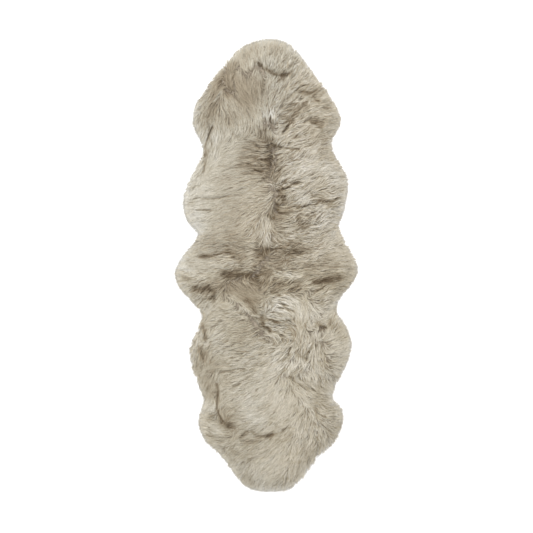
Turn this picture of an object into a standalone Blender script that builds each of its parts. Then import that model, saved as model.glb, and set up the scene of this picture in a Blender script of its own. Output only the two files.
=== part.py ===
"""Double sheepskin rug: two tanned sheepskins sewn together at the rump, lying flat with the wool up.

Metres, +Z up. The origin is on the floor under the middle of the rug, and +Y runs to the head of the
upper skin. Each skin is a thin flat hide under a thick slab of wool, which hangs over the hide's edge
to the floor and ends in a row of free locks.
"""

import math

import bmesh
import bpy
import numpy as np
from mathutils import Vector, noise
from mathutils.geometry import delaunay_2d_cdt

# Driving sizes, in metres
SEAM_Y = -0.020  # the two skins meet here, under the widest lobes
GAP = 0.0003  # between neighbouring pieces
HIDE_THICKNESS = 0.002
HIDE_INSET = 0.034  # from the tips of the wool in to the hide's cut edge
HIDE_STEP = 0.034  # between the corners of the hide's edge
WOOL_INSET = 0.020  # from the tips of the wool in to the roots of the rim locks
RIM_HEIGHT = 0.012  # of the wool where the rim locks leave it
WOOL_HEIGHT = 0.050  # of the wool away from the rim
SHOULDER = 0.110  # width over which the wool rises from the rim to its full height
MESH_STEP = 0.021  # between neighbouring points of the wool's surface
SHOULDER_RINGS = (0.007, 0.023)  # rows of points just inside the rim, which keep its edge round
OUTLINE_STEPS = 24  # points on the outline for each of its corners
SEAM_CHAMFER = 0.0008  # the hides are pared this deep at the seam, so that it lies flat
SEAM_PARED_WIDTH = 0.010

# Free locks at the rim. A spread is the most that one lock is off the size above it, as a part of it
LOCK_PITCH = 0.0190
LOCK_PLACE_SPREAD = 0.07
LOCK_WIDTH = 0.0120
LOCK_WIDTH_SPREAD = 0.16
LOCK_LENGTH = 0.0195
LOCK_LENGTH_SPREAD = 0.22
LOCK_LEAN = 0.45  # the most that a tip leans sideways, as a part of its length
LOCK_WAIST = 0.5  # where a lock's middle lies, as a part of its length
LOCK_WAIST_LEAN = 0.2  # how much of the lean the middle has: less than half, so that the lock curves
LOCK_WAIST_SIZE = 0.8  # of the root's width and height
LOCK_SEED = 7

# Lumps of the wool. Columns: size of a lump, height
LUMPS = ((0.095, 0.0055), (0.045, 0.0055))

# The outer edge of the wool, clockwise from the middle of the head, seen from above
OUTLINE = (
    # head, right
    (0.018, 0.900), (0.086, 0.880), (0.166, 0.792),
    # fore leg lobe and waist, right
    (0.293, 0.587), (0.257, 0.484),
    # hind leg lobe and notch, right
    (0.321, 0.340), (0.307, 0.221), (0.285, 0.159),
    # lobe at the seam and notch, right
    (0.360, -0.010), (0.337, -0.072), (0.289, -0.131), (0.274, -0.181),
    # hind leg lobe and waist of the lower skin, right
    (0.309, -0.237), (0.336, -0.317), (0.313, -0.404), (0.260, -0.526),
    # fore leg lobe, right
    (0.295, -0.575), (0.300, -0.627), (0.273, -0.697), (0.211, -0.759),
    # head of the lower skin
    (0.098, -0.886), (0.006, -0.900), (-0.077, -0.882),
    # fore leg lobe and waist, left
    (-0.177, -0.761), (-0.241, -0.699), (-0.266, -0.631), (-0.248, -0.536),
    # hind leg lobe and notch, left
    (-0.278, -0.456), (-0.307, -0.329), (-0.255, -0.197),
    # lobe at the seam and notch, left
    (-0.296, -0.141), (-0.346, -0.082), (-0.360, -0.030), (-0.332, 0.034), (-0.270, 0.125),
    # hind leg lobe and waist of the upper skin, left
    (-0.310, 0.177), (-0.328, 0.245), (-0.316, 0.317), (-0.254, 0.472),
    # fore leg lobe and head, left
    (-0.284, 0.550), (-0.292, 0.599), (-0.264, 0.675), (-0.121, 0.850), (-0.053, 0.888),
)

# Furrows where the wool parts or folds. Columns: depth, half width, then the points that it runs through
FURROWS = (
    # crease across the head
    (0.016, 0.013, ((-0.035, 0.800), (0.020, 0.772), (0.055, 0.755), (0.090, 0.760))),
    # parting down the back of the upper skin
    (0.015, 0.021, ((0.016, 0.540), (0.034, 0.420), (0.056, 0.325))),
    (0.019, 0.016, ((0.056, 0.325), (0.080, 0.250), (0.024, 0.195))),
    # folds along the left edge of the upper skin
    (0.009, 0.012, ((-0.221, 0.545), (-0.246, 0.450), (-0.254, 0.360))),
    (0.009, 0.011, ((-0.305, 0.245), (-0.230, 0.262), (-0.155, 0.274))),
    # ruffled wool on both sides of the seam
    (0.012, 0.020, ((-0.170, 0.066), (-0.040, 0.052), (0.150, 0.054))),
    (0.012, 0.016, ((-0.170, -0.045), (-0.080, -0.028), (0.005, -0.044))),
    (0.013, 0.022, ((-0.288, -0.088), (-0.238, -0.100), (-0.200, -0.128))),
    (0.012, 0.024, ((0.170, -0.060), (0.255, -0.058))),
    # parting down the middle of the lower skin
    (0.020, 0.014, ((-0.026, -0.190), (0.006, -0.255), (0.100, -0.238))),
    (0.014, 0.014, ((0.180, -0.226), (0.240, -0.190))),
    # folds along the left edge of the lower skin
    (0.012, 0.012, ((-0.258, -0.235), (-0.244, -0.290), (-0.256, -0.360))),
    (0.016, 0.014, ((-0.202, -0.470), (-0.190, -0.555), (-0.178, -0.612), (-0.140, -0.645))),
    # fold across the head of the lower skin
    (0.009, 0.012, ((-0.095, -0.662), (-0.040, -0.670), (0.020, -0.680))),
    (0.008, 0.013, ((0.086, -0.446), (0.138, -0.480), (0.220, -0.508))),
)

# Dimples and tufts. Columns: x, y, radius, height
MOUNDS = (
    (-0.153, 0.765, 0.034, -0.007),
    (-0.210, 0.620, 0.036, -0.007),
    (0.178, 0.672, 0.030, -0.009),
    (0.104, 0.626, 0.036, -0.007),
    (0.205, 0.572, 0.030, -0.007),
    (0.213, 0.262, 0.040, -0.007),
    (0.030, 0.580, 0.030, 0.005),
    (-0.020, 0.150, 0.048, 0.006),
    (0.064, -0.027, 0.042, 0.005),
    (0.054, -0.150, 0.062, 0.007),
    (-0.050, -0.540, 0.120, 0.004),
)

# Finishes: linear colours and roughness
WOOL_COLOUR, WOOL_ROUGHNESS = (0.456, 0.407, 0.319, 1.0), 0.95
HIDE_COLOUR, HIDE_ROUGHNESS = (0.640, 0.545, 0.410, 1.0), 0.85

UPPER, LOWER = 1, -1  # the side of the seam that a skin lies on


def clear_scene():
    for item in list(bpy.data.objects):
        bpy.data.objects.remove(item, do_unlink=True)


def material(name, colour, roughness):
    made = bpy.data.materials.new(name)
    made.use_nodes = True
    shader = made.node_tree.nodes["Principled BSDF"]
    shader.inputs["Base Color"].default_value = colour
    shader.inputs["Roughness"].default_value = roughness
    shader.inputs["Metallic"].default_value = 0.0
    return made


# Outlines: arrays of points, as closed loops or as open runs


def smooth_loop(corners):
    """A centripetal Catmull-Rom curve through a closed loop of corners."""
    corners = np.array(corners)
    start, end = corners, np.roll(corners, -1, axis=0)
    before, after = np.roll(corners, 1, axis=0), np.roll(corners, -2, axis=0)
    span_in = np.sqrt(np.linalg.norm(start - before, axis=1))[:, None]
    span = np.sqrt(np.linalg.norm(end - start, axis=1))[:, None]
    span_out = np.sqrt(np.linalg.norm(after - end, axis=1))[:, None]
    leave = (end - start) + span * ((start - before) / span_in - (end - before) / (span_in + span))
    arrive = (end - start) + span * ((after - end) / span_out - (after - start) / (span + span_out))
    t = np.arange(OUTLINE_STEPS)[None, :, None] / OUTLINE_STEPS
    start, end, leave, arrive = (part[:, None, :] for part in (start, end, leave, arrive))
    curve = (2 * t**3 - 3 * t**2 + 1) * start + (t**3 - 2 * t**2 + t) * leave
    curve = curve + (3 * t**2 - 2 * t**3) * end + (t**3 - t**2) * arrive
    return curve.reshape(-1, 2)


def right_hand(tangents):
    """Unit vectors to the right of each tangent: inwards on a clockwise loop."""
    turned = np.stack([tangents[:, 1], -tangents[:, 0]], axis=1)
    return turned / np.linalg.norm(turned, axis=1, keepdims=True)


def inset(loop, distance):
    """A clockwise loop moved inwards."""
    return loop + distance * right_hand(np.roll(loop, -1, axis=0) - np.roll(loop, 1, axis=0))


def side_run(loop, side):
    """The anticlockwise run of a clockwise loop on one side of the seam, both ends on the seam."""
    level = SEAM_Y + side * GAP / 2
    inside = side * (loop[:, 1] - level) > 0
    first = np.flatnonzero(inside & ~np.roll(inside, 1))[0]
    turned = np.roll(loop, 1 - first, axis=0)[: inside.sum() + 2]
    for end, neighbour in ((0, 1), (-1, -2)):
        part = (level - turned[neighbour, 1]) / (turned[end, 1] - turned[neighbour, 1])
        turned[end] = turned[neighbour] + part * (turned[end] - turned[neighbour])
        turned[end, 1] = level
    return turned[::-1]


def resample(run, places):
    """Points at these places along an open run, and the unit normals to its right there."""
    lengths = np.concatenate([[0], np.cumsum(np.linalg.norm(np.diff(run, axis=0), axis=1))])
    normals = right_hand(np.gradient(run, axis=0))
    points = np.stack([np.interp(places, lengths, run[:, i]) for i in (0, 1)], axis=1)
    turned = np.stack([np.interp(places, lengths, normals[:, i]) for i in (0, 1)], axis=1)
    return points, turned


def run_length(run):
    return np.linalg.norm(np.diff(run, axis=0), axis=1).sum()


def evenly(run, step):
    count = max(2, round(run_length(run) / step)) + 1
    return resample(run, np.linspace(0, run_length(run), count))[0]


OUTER_LOOP = smooth_loop(OUTLINE)
RIM_LOOP = inset(OUTER_LOOP, WOOL_INSET)
RIM_INWARD = right_hand(np.roll(RIM_LOOP, -1, axis=0) - np.roll(RIM_LOOP, 1, axis=0))


def depth_inside(points):
    """How far each point lies inside the wool's rim, negative outside it."""
    offsets = points[:, None, :] - RIM_LOOP[None, :, :]
    distances = np.linalg.norm(offsets, axis=2)
    nearest = distances.argmin(axis=1)
    rows = np.arange(len(points))
    inward = (offsets[rows, nearest] * RIM_INWARD[nearest]).sum(axis=1)
    return np.sign(inward) * distances[rows, nearest]


# The hide


def hide_run(side):
    return evenly(side_run(inset(OUTER_LOOP, HIDE_INSET), side), HIDE_STEP)


def pocket_run(side):
    """The hide's edge let out by the gap, and run on past the seam."""
    run = hide_run(side)
    at_corners = 1.1  # a corner moves a little more than the sides beside it
    run = run + at_corners * GAP * right_hand(np.gradient(run, axis=0))
    past_seam = HIDE_THICKNESS / HIDE_STEP
    first = run[0] + past_seam * (run[0] - run[1])
    last = run[-1] + past_seam * (run[-1] - run[-2])
    return np.concatenate([[first], run[1:-1], [last]])


def plate(name, run, bottom, top, collection):
    """A flat plate with this outline, as a mesh object."""
    curve = bpy.data.curves.new(name, "CURVE")
    curve.dimensions = "2D"
    curve.fill_mode = "BOTH"
    curve.extrude = (top - bottom) / 2
    spline = curve.splines.new("POLY")
    spline.points.add(len(run) - 1)
    for point, (x, y) in zip(spline.points, run):
        point.co = (x, y, 0, 1)
    spline.use_cyclic_u = True
    flat = bpy.data.objects.new(name + "_outline", curve)
    bpy.context.scene.collection.objects.link(flat)
    flat.location.z = (top + bottom) / 2
    bpy.context.view_layer.update()
    mesh = bpy.data.meshes.new_from_object(flat.evaluated_get(bpy.context.evaluated_depsgraph_get()))
    solid = bmesh.new()
    solid.from_mesh(mesh)
    bmesh.ops.remove_doubles(solid, verts=solid.verts[:], dist=GAP / 10)
    bmesh.ops.recalc_face_normals(solid, faces=solid.faces[:])
    solid.to_mesh(mesh)
    solid.free()
    made = bpy.data.objects.new(name, mesh)
    made.matrix_world = flat.matrix_world
    collection.objects.link(made)
    bpy.data.objects.remove(flat, do_unlink=True)
    return made


def seam_relief(cutters):
    """The shallow groove on the underside, where both hides are pared along the seam."""
    bpy.ops.mesh.primitive_cube_add(size=1, location=(0, SEAM_Y, 0))
    box = bpy.context.object
    box.name = "seam_relief"
    box.data.transform(
        ((1, 0, 0, 0), (0, SEAM_PARED_WIDTH, 0, 0), (0, 0, 2 * SEAM_CHAMFER, 0), (0, 0, 0, 1))
    )
    for collection in list(box.users_collection):
        collection.objects.unlink(box)
    cutters.objects.link(box)
    return box


# The wool


def furrow_drop(points, depth, half_width, route):
    """How far a furrow lowers each point: deepest on its route, and little past its half width."""
    nearest = np.full(len(points), np.inf)
    route = np.array(route)
    for start, end in zip(route[:-1], route[1:]):
        along = np.clip((points - start) @ (end - start) / ((end - start) @ (end - start)), 0, 1)
        offsets = points - start - along[:, None] * (end - start)
        nearest = np.minimum(nearest, np.linalg.norm(offsets, axis=1))
    return depth * np.exp(-((nearest / half_width) ** 2))


def wool_height(points):
    """Height of the wool above the floor: a low dome with lumps, furrows and tufts."""
    rise = np.clip(depth_inside(points) / SHOULDER, 0, 1)
    dome = np.sqrt(1 - (1 - rise) ** 2)
    relief = np.zeros(len(points))
    for layer, (size, height) in enumerate(LUMPS):
        relief += [height * noise.noise(Vector((x / size, y / size, layer))) for x, y in points]
    relief -= np.max([furrow_drop(points, *furrow) for furrow in FURROWS], axis=0)
    for x, y, radius, height in MOUNDS:
        relief += height * np.exp(-(np.linalg.norm(points - (x, y), axis=1) / radius) ** 2)
    return RIM_HEIGHT + (WOOL_HEIGHT - RIM_HEIGHT + relief) * dome


def lock_roots(rim, chance):
    """Both root corners of each rim lock in turn, and the outward direction of each lock."""
    count = int(run_length(rim) / LOCK_PITCH)
    places = np.arange(count) + 0.5 + chance.uniform(-LOCK_PLACE_SPREAD, LOCK_PLACE_SPREAD, count)
    centres = places * run_length(rim) / count
    halves = LOCK_WIDTH / 2 * (1 + chance.uniform(-LOCK_WIDTH_SPREAD, LOCK_WIDTH_SPREAD, count))
    ends = np.stack([centres - halves, centres + halves], axis=1).reshape(-1)
    return resample(rim, ends)[0], resample(rim, centres)[1]


def surface_points(side):
    """Points inside the wool's edge on one side of the seam: rows along the rim, then a lattice."""
    least_gap = 0.65 * MESH_STEP
    found = [evenly(side_run(inset(RIM_LOOP, ring), side), MESH_STEP) for ring in SHOULDER_RINGS]
    low, high = RIM_LOOP.min(axis=0), RIM_LOOP.max(axis=0)
    columns = np.arange(low[0], high[0], MESH_STEP)
    rows = np.arange(low[1], high[1], MESH_STEP * math.sqrt(3) / 2)
    lattice = np.array([(x + (i % 2) * MESH_STEP / 2, y) for i, y in enumerate(rows) for x in columns])
    found.append(lattice[depth_inside(lattice) > SHOULDER_RINGS[-1] + least_gap])
    points = np.concatenate(found)
    return points[side * (points[:, 1] - SEAM_Y) > least_gap]


def add_locks(solid, walls, outward, chance):
    """Draws each root wall out to a lock that tapers to a point and lies flat on the floor."""
    for wall, direction in zip(walls, outward):
        length = LOCK_LENGTH * (1 + chance.uniform(-LOCK_LENGTH_SPREAD, LOCK_LENGTH_SPREAD / 2))
        lean = chance.uniform(-LOCK_LEAN, LOCK_LEAN)
        ahead = Vector((*direction, 0))
        aside = Vector((-direction[1], direction[0], 0))
        root = wall.calc_center_median()
        root.z = 0
        drawn = bmesh.ops.extrude_discrete_faces(solid, faces=[wall])["faces"][0]
        waist = root + length * (LOCK_WAIST * ahead + LOCK_WAIST_LEAN * lean * aside)
        for corner in drawn.verts:
            across = (corner.co - root).dot(aside)
            corner.co = waist + LOCK_WAIST_SIZE * (across * aside + Vector((0, 0, corner.co.z)))
        drawn = bmesh.ops.extrude_discrete_faces(solid, faces=[drawn])["faces"][0]
        bmesh.ops.pointmerge(solid, verts=drawn.verts[:], merge_co=root + length * (ahead + lean * aside))


def wool_mesh(name, side):
    """One skin's wool: a lumpy slab with a flat underside and locks at its rim."""
    rim = side_run(RIM_LOOP, side)
    chance = np.random.default_rng(LOCK_SEED + side)
    corners, outward = lock_roots(rim, chance)
    seam = evenly(rim[[-1, 0]], MESH_STEP)
    edge = np.concatenate([corners, seam])
    points = np.concatenate([edge, surface_points(side)])
    rim_pairs = [(i, (i + 1) % len(edge)) for i in range(len(edge))]
    spread = delaunay_2d_cdt([Vector(point) for point in points], rim_pairs, [], 1, GAP / 10)
    flat, triangles = spread[0], spread[2]
    heights = wool_height(np.array(flat))

    solid = bmesh.new()
    top = [solid.verts.new((point.x, point.y, height)) for point, height in zip(flat, heights)]
    floor = [solid.verts.new((point.x, point.y, 0)) for point in flat[: len(edge)]]
    for triangle in triangles:
        solid.faces.new([top[i] for i in triangle])
    solid.faces.new(floor[::-1])
    walls = [solid.faces.new((floor[a], floor[b], top[b], top[a])) for a, b in rim_pairs]
    bmesh.ops.recalc_face_normals(solid, faces=solid.faces[:])
    add_locks(solid, walls[: len(corners) : 2], outward, chance)
    loose = [corner for corner in solid.verts if not corner.link_faces]
    bmesh.ops.delete(solid, geom=loose, context="VERTS")

    mesh = bpy.data.meshes.new(name)
    solid.to_mesh(mesh)
    solid.free()
    mesh.shade_smooth()
    mesh.set_sharp_from_angle(angle=math.radians(60))
    return mesh


def cut(target, cutter):
    cutter.hide_render = True
    cutter.display_type = "WIRE"
    boolean = target.modifiers.new(cutter.name, "BOOLEAN")
    boolean.operation = "DIFFERENCE"
    boolean.solver = "EXACT"
    boolean.object = cutter


def centre_on_origin(pieces, others):
    """Hangs everything on an empty that puts the middle of the pieces over the origin."""
    bpy.context.view_layer.update()
    boxes = [(piece, corner) for piece in pieces for corner in piece.bound_box]
    corners = np.array([piece.matrix_world @ Vector(corner) for piece, corner in boxes])
    middle = (corners.min(axis=0) + corners.max(axis=0)) / 2
    holder = bpy.data.objects.new("rug_holder", None)
    bpy.context.scene.collection.objects.link(holder)
    holder.location = (-middle[0], -middle[1], 0)
    for item in pieces + others:
        item.parent = holder


def build():
    clear_scene()
    rug = bpy.data.collections.new("sheepskin_rug")
    cutters = bpy.data.collections.new("cutters")
    for collection in (rug, cutters):
        bpy.context.scene.collection.children.link(collection)
    wool_finish = material("wool", WOOL_COLOUR, WOOL_ROUGHNESS)
    hide_finish = material("tanned_hide", HIDE_COLOUR, HIDE_ROUGHNESS)
    relief = seam_relief(cutters)
    for word, side in (("upper", UPPER), ("lower", LOWER)):
        hide = plate("hide_" + word, hide_run(side), 0, HIDE_THICKNESS, rug)
        hide.data.materials.append(hide_finish)
        cut(hide, relief)
        wool = bpy.data.objects.new("wool_" + word, wool_mesh("wool_" + word, side))
        wool.data.materials.append(wool_finish)
        rug.objects.link(wool)
        pocket = plate("pocket_" + word, pocket_run(side), -HIDE_THICKNESS, HIDE_THICKNESS + GAP, cutters)
        cut(wool, pocket)
    centre_on_origin(rug.objects[:], cutters.objects[:])


build()
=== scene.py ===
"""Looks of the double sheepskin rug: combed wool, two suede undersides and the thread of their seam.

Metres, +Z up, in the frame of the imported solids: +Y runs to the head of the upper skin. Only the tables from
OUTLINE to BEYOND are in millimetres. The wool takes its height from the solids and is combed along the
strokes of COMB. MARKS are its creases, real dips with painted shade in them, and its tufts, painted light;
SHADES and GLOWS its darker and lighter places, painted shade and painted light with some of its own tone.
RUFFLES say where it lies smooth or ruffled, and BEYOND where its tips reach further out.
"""

import math

import bmesh
import bpy
import numpy as np
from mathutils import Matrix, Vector
from mathutils.bvhtree import BVHTree
from mathutils.geometry import delaunay_2d_cdt
from mathutils.kdtree import KDTree


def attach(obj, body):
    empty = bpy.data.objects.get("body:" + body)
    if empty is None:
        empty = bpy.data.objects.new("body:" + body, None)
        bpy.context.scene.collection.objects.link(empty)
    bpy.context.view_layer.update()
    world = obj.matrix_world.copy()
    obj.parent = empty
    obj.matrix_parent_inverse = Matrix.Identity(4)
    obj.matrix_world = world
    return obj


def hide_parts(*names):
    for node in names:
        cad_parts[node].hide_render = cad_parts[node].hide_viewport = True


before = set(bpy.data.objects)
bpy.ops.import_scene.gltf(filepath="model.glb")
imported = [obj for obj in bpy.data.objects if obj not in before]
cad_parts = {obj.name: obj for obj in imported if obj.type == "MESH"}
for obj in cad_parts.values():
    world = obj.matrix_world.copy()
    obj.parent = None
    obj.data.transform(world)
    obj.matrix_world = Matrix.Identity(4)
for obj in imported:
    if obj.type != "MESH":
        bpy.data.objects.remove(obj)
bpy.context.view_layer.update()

# The rug
SIDES = {"upper": 1, "lower": -1}  # of the seam, along Y
SEAM_Y = -0.020
GAP = 0.0003  # between the two skins
HIDE_INSET = 0.034  # from the tips of the wool in to the hide's cut edge
WOOL_INSET = 0.020  # from the tips of the wool in to the edge of the solid wool
RIM_HEIGHT = 0.012  # of the wool over that edge
HIDE_THICKNESS = 0.0018
TOP = 0.0680  # no wool rises over this
LEAST_HEIGHT = 0.0006  # of the middle line of a strand over the floor
FLOOR_GAP = 0.0003  # from the floor to the lowest corner of a strand
DEEPEST_CREASE = 0.010
MIDDLE_TONE = 0.504
LEAST_RUFFLED = 0.36
MOST_RUFFLED = 2.4
SEED = 11

# Grid on which the height, the comb's direction and the tone of the wool are kept
GRID_STEP = 0.002
GRID_LOW = np.array((-0.42, -0.96))
GRID_SHAPE = (961, 421)  # rows along Y, columns along X

# Strands. Locks are three-edged ribbons of wool, hairs thin flat ones over them, staples bundles of both
LOCK_PITCH = 0.0074
HAIR_PITCH = 0.0050
STAPLE_PITCH = 0.0150
RINGS = 5  # along each strand
PATH_STEPS = 10
FINE_STEPS = 20
CROWDING = 1.6  # of the points of a strand where it turns from light to dark
SIDE_LOCKS = 3200  # on the flanks
SIDE_HAIRS = 9000
LOW_LOCKS = 2700  # under the rim

# Each skin's strands are cut into a left and a right half. The cut leans to the right from the seam on
SLANT = {"upper": 0.40, "lower": 0.15}
CUT_SPREAD = 0.050  # by which it is frayed

# The deep wool under the strands
SUNK = 0.0035  # below the surface of the wool
DEEP_LEAST = 0.006  # height of its upper side
DEEP_BOTTOM = 0.003  # height of its underside

# Seam
STITCH_PITCH = 0.0055
THREAD_RADIUS = 0.00033
THREAD_SIDES = 6
PARED = 0.0008  # depth of the groove that the thread lies in
HIDE_PITCH = 0.012  # between the corners of a hide
# Profile of a stitch. Columns: place from -1 to 1 over its length, height
STITCH = np.array((
    (-1.0, 0.0014), (-0.82, 0.0007), (-0.5, 0.00042), (0.5, 0.00042), (0.82, 0.0007), (1.0, 0.0014),
))

# The outer edge of the wool, clockwise from the middle of the head, seen from above
OUTLINE = (
    (18, 900), (86, 880), (166, 792), (293, 587), (257, 484), (321, 340), (307, 221), (285, 159),
    (360, -10), (337, -72), (289, -131), (274, -181), (309, -237), (336, -317), (313, -404), (260, -526),
    (295, -575), (300, -627), (273, -697), (211, -759), (98, -886), (6, -900), (-77, -882), (-177, -761),
    (-241, -699), (-266, -631), (-248, -536), (-278, -456), (-307, -329), (-255, -197), (-296, -141),
    (-346, -82), (-360, -30), (-332, 34), (-270, 125), (-310, 177), (-328, 245), (-316, 317), (-254, 472),
    (-284, 550), (-292, 599), (-264, 675), (-121, 850), (-53, 888),
)

# Strokes of the comb, each from the roots to the tips of the wool
COMB = (
    # head of the upper skin
    ((-57, 787), (-61, 842), (-69, 890)), ((-2, 794), (6, 842), (18, 894)),
    ((50, 779), (70, 826), (98, 878)), ((70, 731), (102, 787), (142, 842)),
    ((94, 691), (142, 735), (190, 787)), ((70, 643), (126, 683), (178, 727), (221, 767)),
    ((-81, 787), (-93, 818), (-85, 858)), ((-141, 707), (-149, 739), (-141, 775), (-125, 810)),
    ((-177, 771), (-209, 731), (-241, 683), (-268, 643)),
    ((-161, 675), (-137, 627), (-113, 591), (-109, 540), (-133, 492), (-177, 460)),
    ((-177, 715), (-213, 671), (-237, 619), (-256, 563)), ((-41, 771), (-41, 667), (-37, 563)),
    ((-117, 771), (-113, 723), (-93, 675), (-65, 631), (-41, 587), (-33, 540)),
    ((-2, 572), (2, 659), (22, 707), (42, 743)), ((26, 560), (44, 639), (78, 683), (118, 719)),
    ((10, 552), (10, 536), (10, 516)),
    # fore leg lobes and back of the upper skin, right
    ((54, 583), (110, 623), (166, 655), (213, 687), (269, 727)),
    ((62, 532), (102, 571), (158, 603), (213, 623), (285, 655)),
    ((38, 476), (94, 528), (158, 556), (277, 575)), ((54, 452), (126, 476), (190, 500), (261, 524)),
    ((46, 396), (102, 432), (166, 464), (261, 496)), ((38, 340), (86, 380), (158, 412), (285, 456)),
    ((62, 309), (134, 344), (213, 376), (317, 412)), ((54, 261), (126, 301), (205, 333), (329, 368)),
    ((62, 213), (134, 241), (205, 273), (329, 301)), ((38, 173), (134, 197), (221, 225), (309, 253)),
    ((22, 133), (94, 157), (190, 169), (289, 177)), ((38, 90), (102, 102), (190, 110), (277, 137)),
    ((166, 30), (237, 74), (309, 113)), ((46, 30), (142, 46), (237, 58), (333, 62)),
    ((134, -10), (221, 2), (345, 2)), ((134, -58), (205, -34), (277, -26), (349, -30)),
    ((-2, -6), (62, -6), (126, 10)), ((14, -18), (62, -30), (114, -42)),
    # flank and back of the upper skin, left
    ((-81, 579), (-93, 524), (-129, 476), (-177, 452)), ((-177, 571), (-185, 500), (-189, 420)),
    ((-221, 556), (-241, 492), (-252, 420)), ((-18, 480), (-57, 492), (-105, 492), (-153, 480)),
    ((6, 452), (-57, 448), (-129, 436), (-209, 412)), ((-217, 412), (-245, 364), (-268, 325), (-296, 293)),
    ((-2, 400), (-65, 404), (-137, 388), (-248, 356)), ((-10, 348), (-81, 337), (-153, 317), (-304, 285)),
    ((-2, 301), (-65, 285), (-145, 261), (-320, 213)), ((14, 269), (-33, 237), (-105, 205), (-280, 149)),
    ((-10, 213), (-57, 173), (-105, 141), (-209, 110)), ((-2, 197), (-25, 149), (-49, 106)),
    ((2, 189), (2, 141), (-2, 90)), ((14, 181), (30, 141), (58, 98)),
    ((-41, 90), (-97, 90), (-161, 90), (-264, 70)), ((-57, 50), (-137, 38), (-225, 30), (-328, 6)),
    ((-33, 10), (-121, -2), (-217, -10), (-344, -34)), ((-89, -22), (-177, -50), (-248, -78), (-312, -121)),
    # seam lobes and upper back of the lower skin
    ((-169, -98), (-217, -121), (-264, -161)), ((-169, -102), (-121, -125), (-65, -157)),
    ((-137, -78), (-89, -102), (-37, -129)), ((-81, -62), (-49, -94), (-22, -121)),
    ((-25, -110), (-10, -82), (10, -50)), ((-65, -153), (-41, -169), (-22, -189)),
    ((30, -78), (70, -62), (126, -42)), ((22, -102), (70, -90), (126, -66)),
    ((134, -102), (198, -70), (269, -50), (333, -54)), ((150, -137), (213, -110), (285, -94)),
    ((-137, -153), (-201, -169), (-256, -189)), ((-177, -98), (-209, -145), (-233, -193)),
    ((-237, -197), (-241, -241), (-245, -281)), ((-97, -201), (-177, -217), (-248, -233)),
    ((-73, -249), (-137, -257), (-201, -285), (-252, -309)),
    ((-33, -293), (-105, -301), (-169, -309), (-233, -337)), ((-248, -257), (-268, -321), (-280, -384)),
    ((-18, -189), (-18, -157), (-6, -129), (22, -113), (58, -113), (90, -125),
        (114, -145), (126, -173), (130, -209)), ((130, -209), (130, -249), (122, -289)),
    ((-2, -189), (-2, -157), (14, -133), (42, -129), (74, -137), (98, -153), (110, -177), (114, -205)),
    ((14, -177), (18, -157), (38, -145), (66, -149), (90, -161), (98, -181)),
    ((30, -169), (54, -165), (78, -173), (94, -185)),
    ((6, -189), (30, -185), (58, -189), (86, -201), (102, -217)),
    ((-2, -205), (34, -209), (66, -217), (90, -233)), ((-10, -217), (54, -213), (118, -237)),
    ((14, -261), (70, -273), (126, -297)), ((158, -113), (150, -169), (146, -225), (142, -289)),
    ((174, -153), (198, -177), (237, -173), (285, -153)), ((182, -257), (213, -221), (253, -193)),
    ((245, -281), (265, -237), (285, -197)),
    # fan of the lower skin, left
    ((118, -293), (70, -321), (14, -344), (-57, -368), (-137, -392), (-272, -424)),
    ((126, -321), (86, -368), (30, -416), (-41, -452), (-121, -476), (-209, -492)),
    ((-233, -344), (-245, -408), (-260, -464)), ((-201, -424), (-221, -488), (-241, -544)),
    ((134, -344), (110, -416), (70, -488), (22, -552), (-41, -599), (-113, -615)),
    ((-33, -472), (-89, -512), (-137, -540), (-177, -552)), ((-185, -496), (-189, -552), (-177, -615)),
    ((-189, -571), (-233, -579), (-268, -583)), ((-177, -627), (-225, -627), (-264, -619)),
    ((-177, -679), (-221, -667), (-256, -655)), ((-161, -719), (-201, -719), (-229, -715)),
    ((-117, -687), (-149, -719), (-177, -755)),
    # fan of the lower skin, right
    ((205, -201), (194, -265), (170, -321), (150, -360)), ((186, -368), (186, -416), (194, -472)),
    ((221, -313), (225, -360), (237, -424), (253, -480)), ((221, -305), (273, -281), (325, -249)),
    ((237, -352), (281, -337), (329, -317)), ((245, -392), (285, -388), (325, -384)),
    ((221, -408), (261, -432), (301, -464)), ((86, -448), (134, -480), (190, -516), (253, -544)),
    ((118, -504), (166, -548), (221, -583), (301, -607)), ((182, -488), (229, -512), (269, -532)),
    ((198, -544), (245, -548), (297, -552)), ((174, -575), (221, -615), (285, -671)),
    ((190, -575), (194, -631), (213, -687), (237, -735)),
    # head of the lower skin
    ((70, -552), (38, -611), (-18, -655), (-81, -687), (-153, -715)),
    ((122, -520), (94, -567), (54, -603), (10, -631)), ((154, -567), (114, -607), (74, -631), (34, -655)),
    ((134, -552), (118, -615), (70, -679), (6, -727), (-65, -775), (-121, -830)),
    ((166, -599), (150, -679), (118, -743), (70, -798), (14, -854), (-10, -898)),
    ((182, -615), (182, -695), (158, -759), (126, -822), (94, -882)),
    ((-81, -711), (-129, -747), (-177, -787)), ((-49, -783), (-81, -830), (-105, -878)),
    ((42, -798), (10, -838), (-14, -886)), ((198, -719), (182, -767), (158, -830)),
    ((98, -814), (94, -854), (86, -894)),
)
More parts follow.
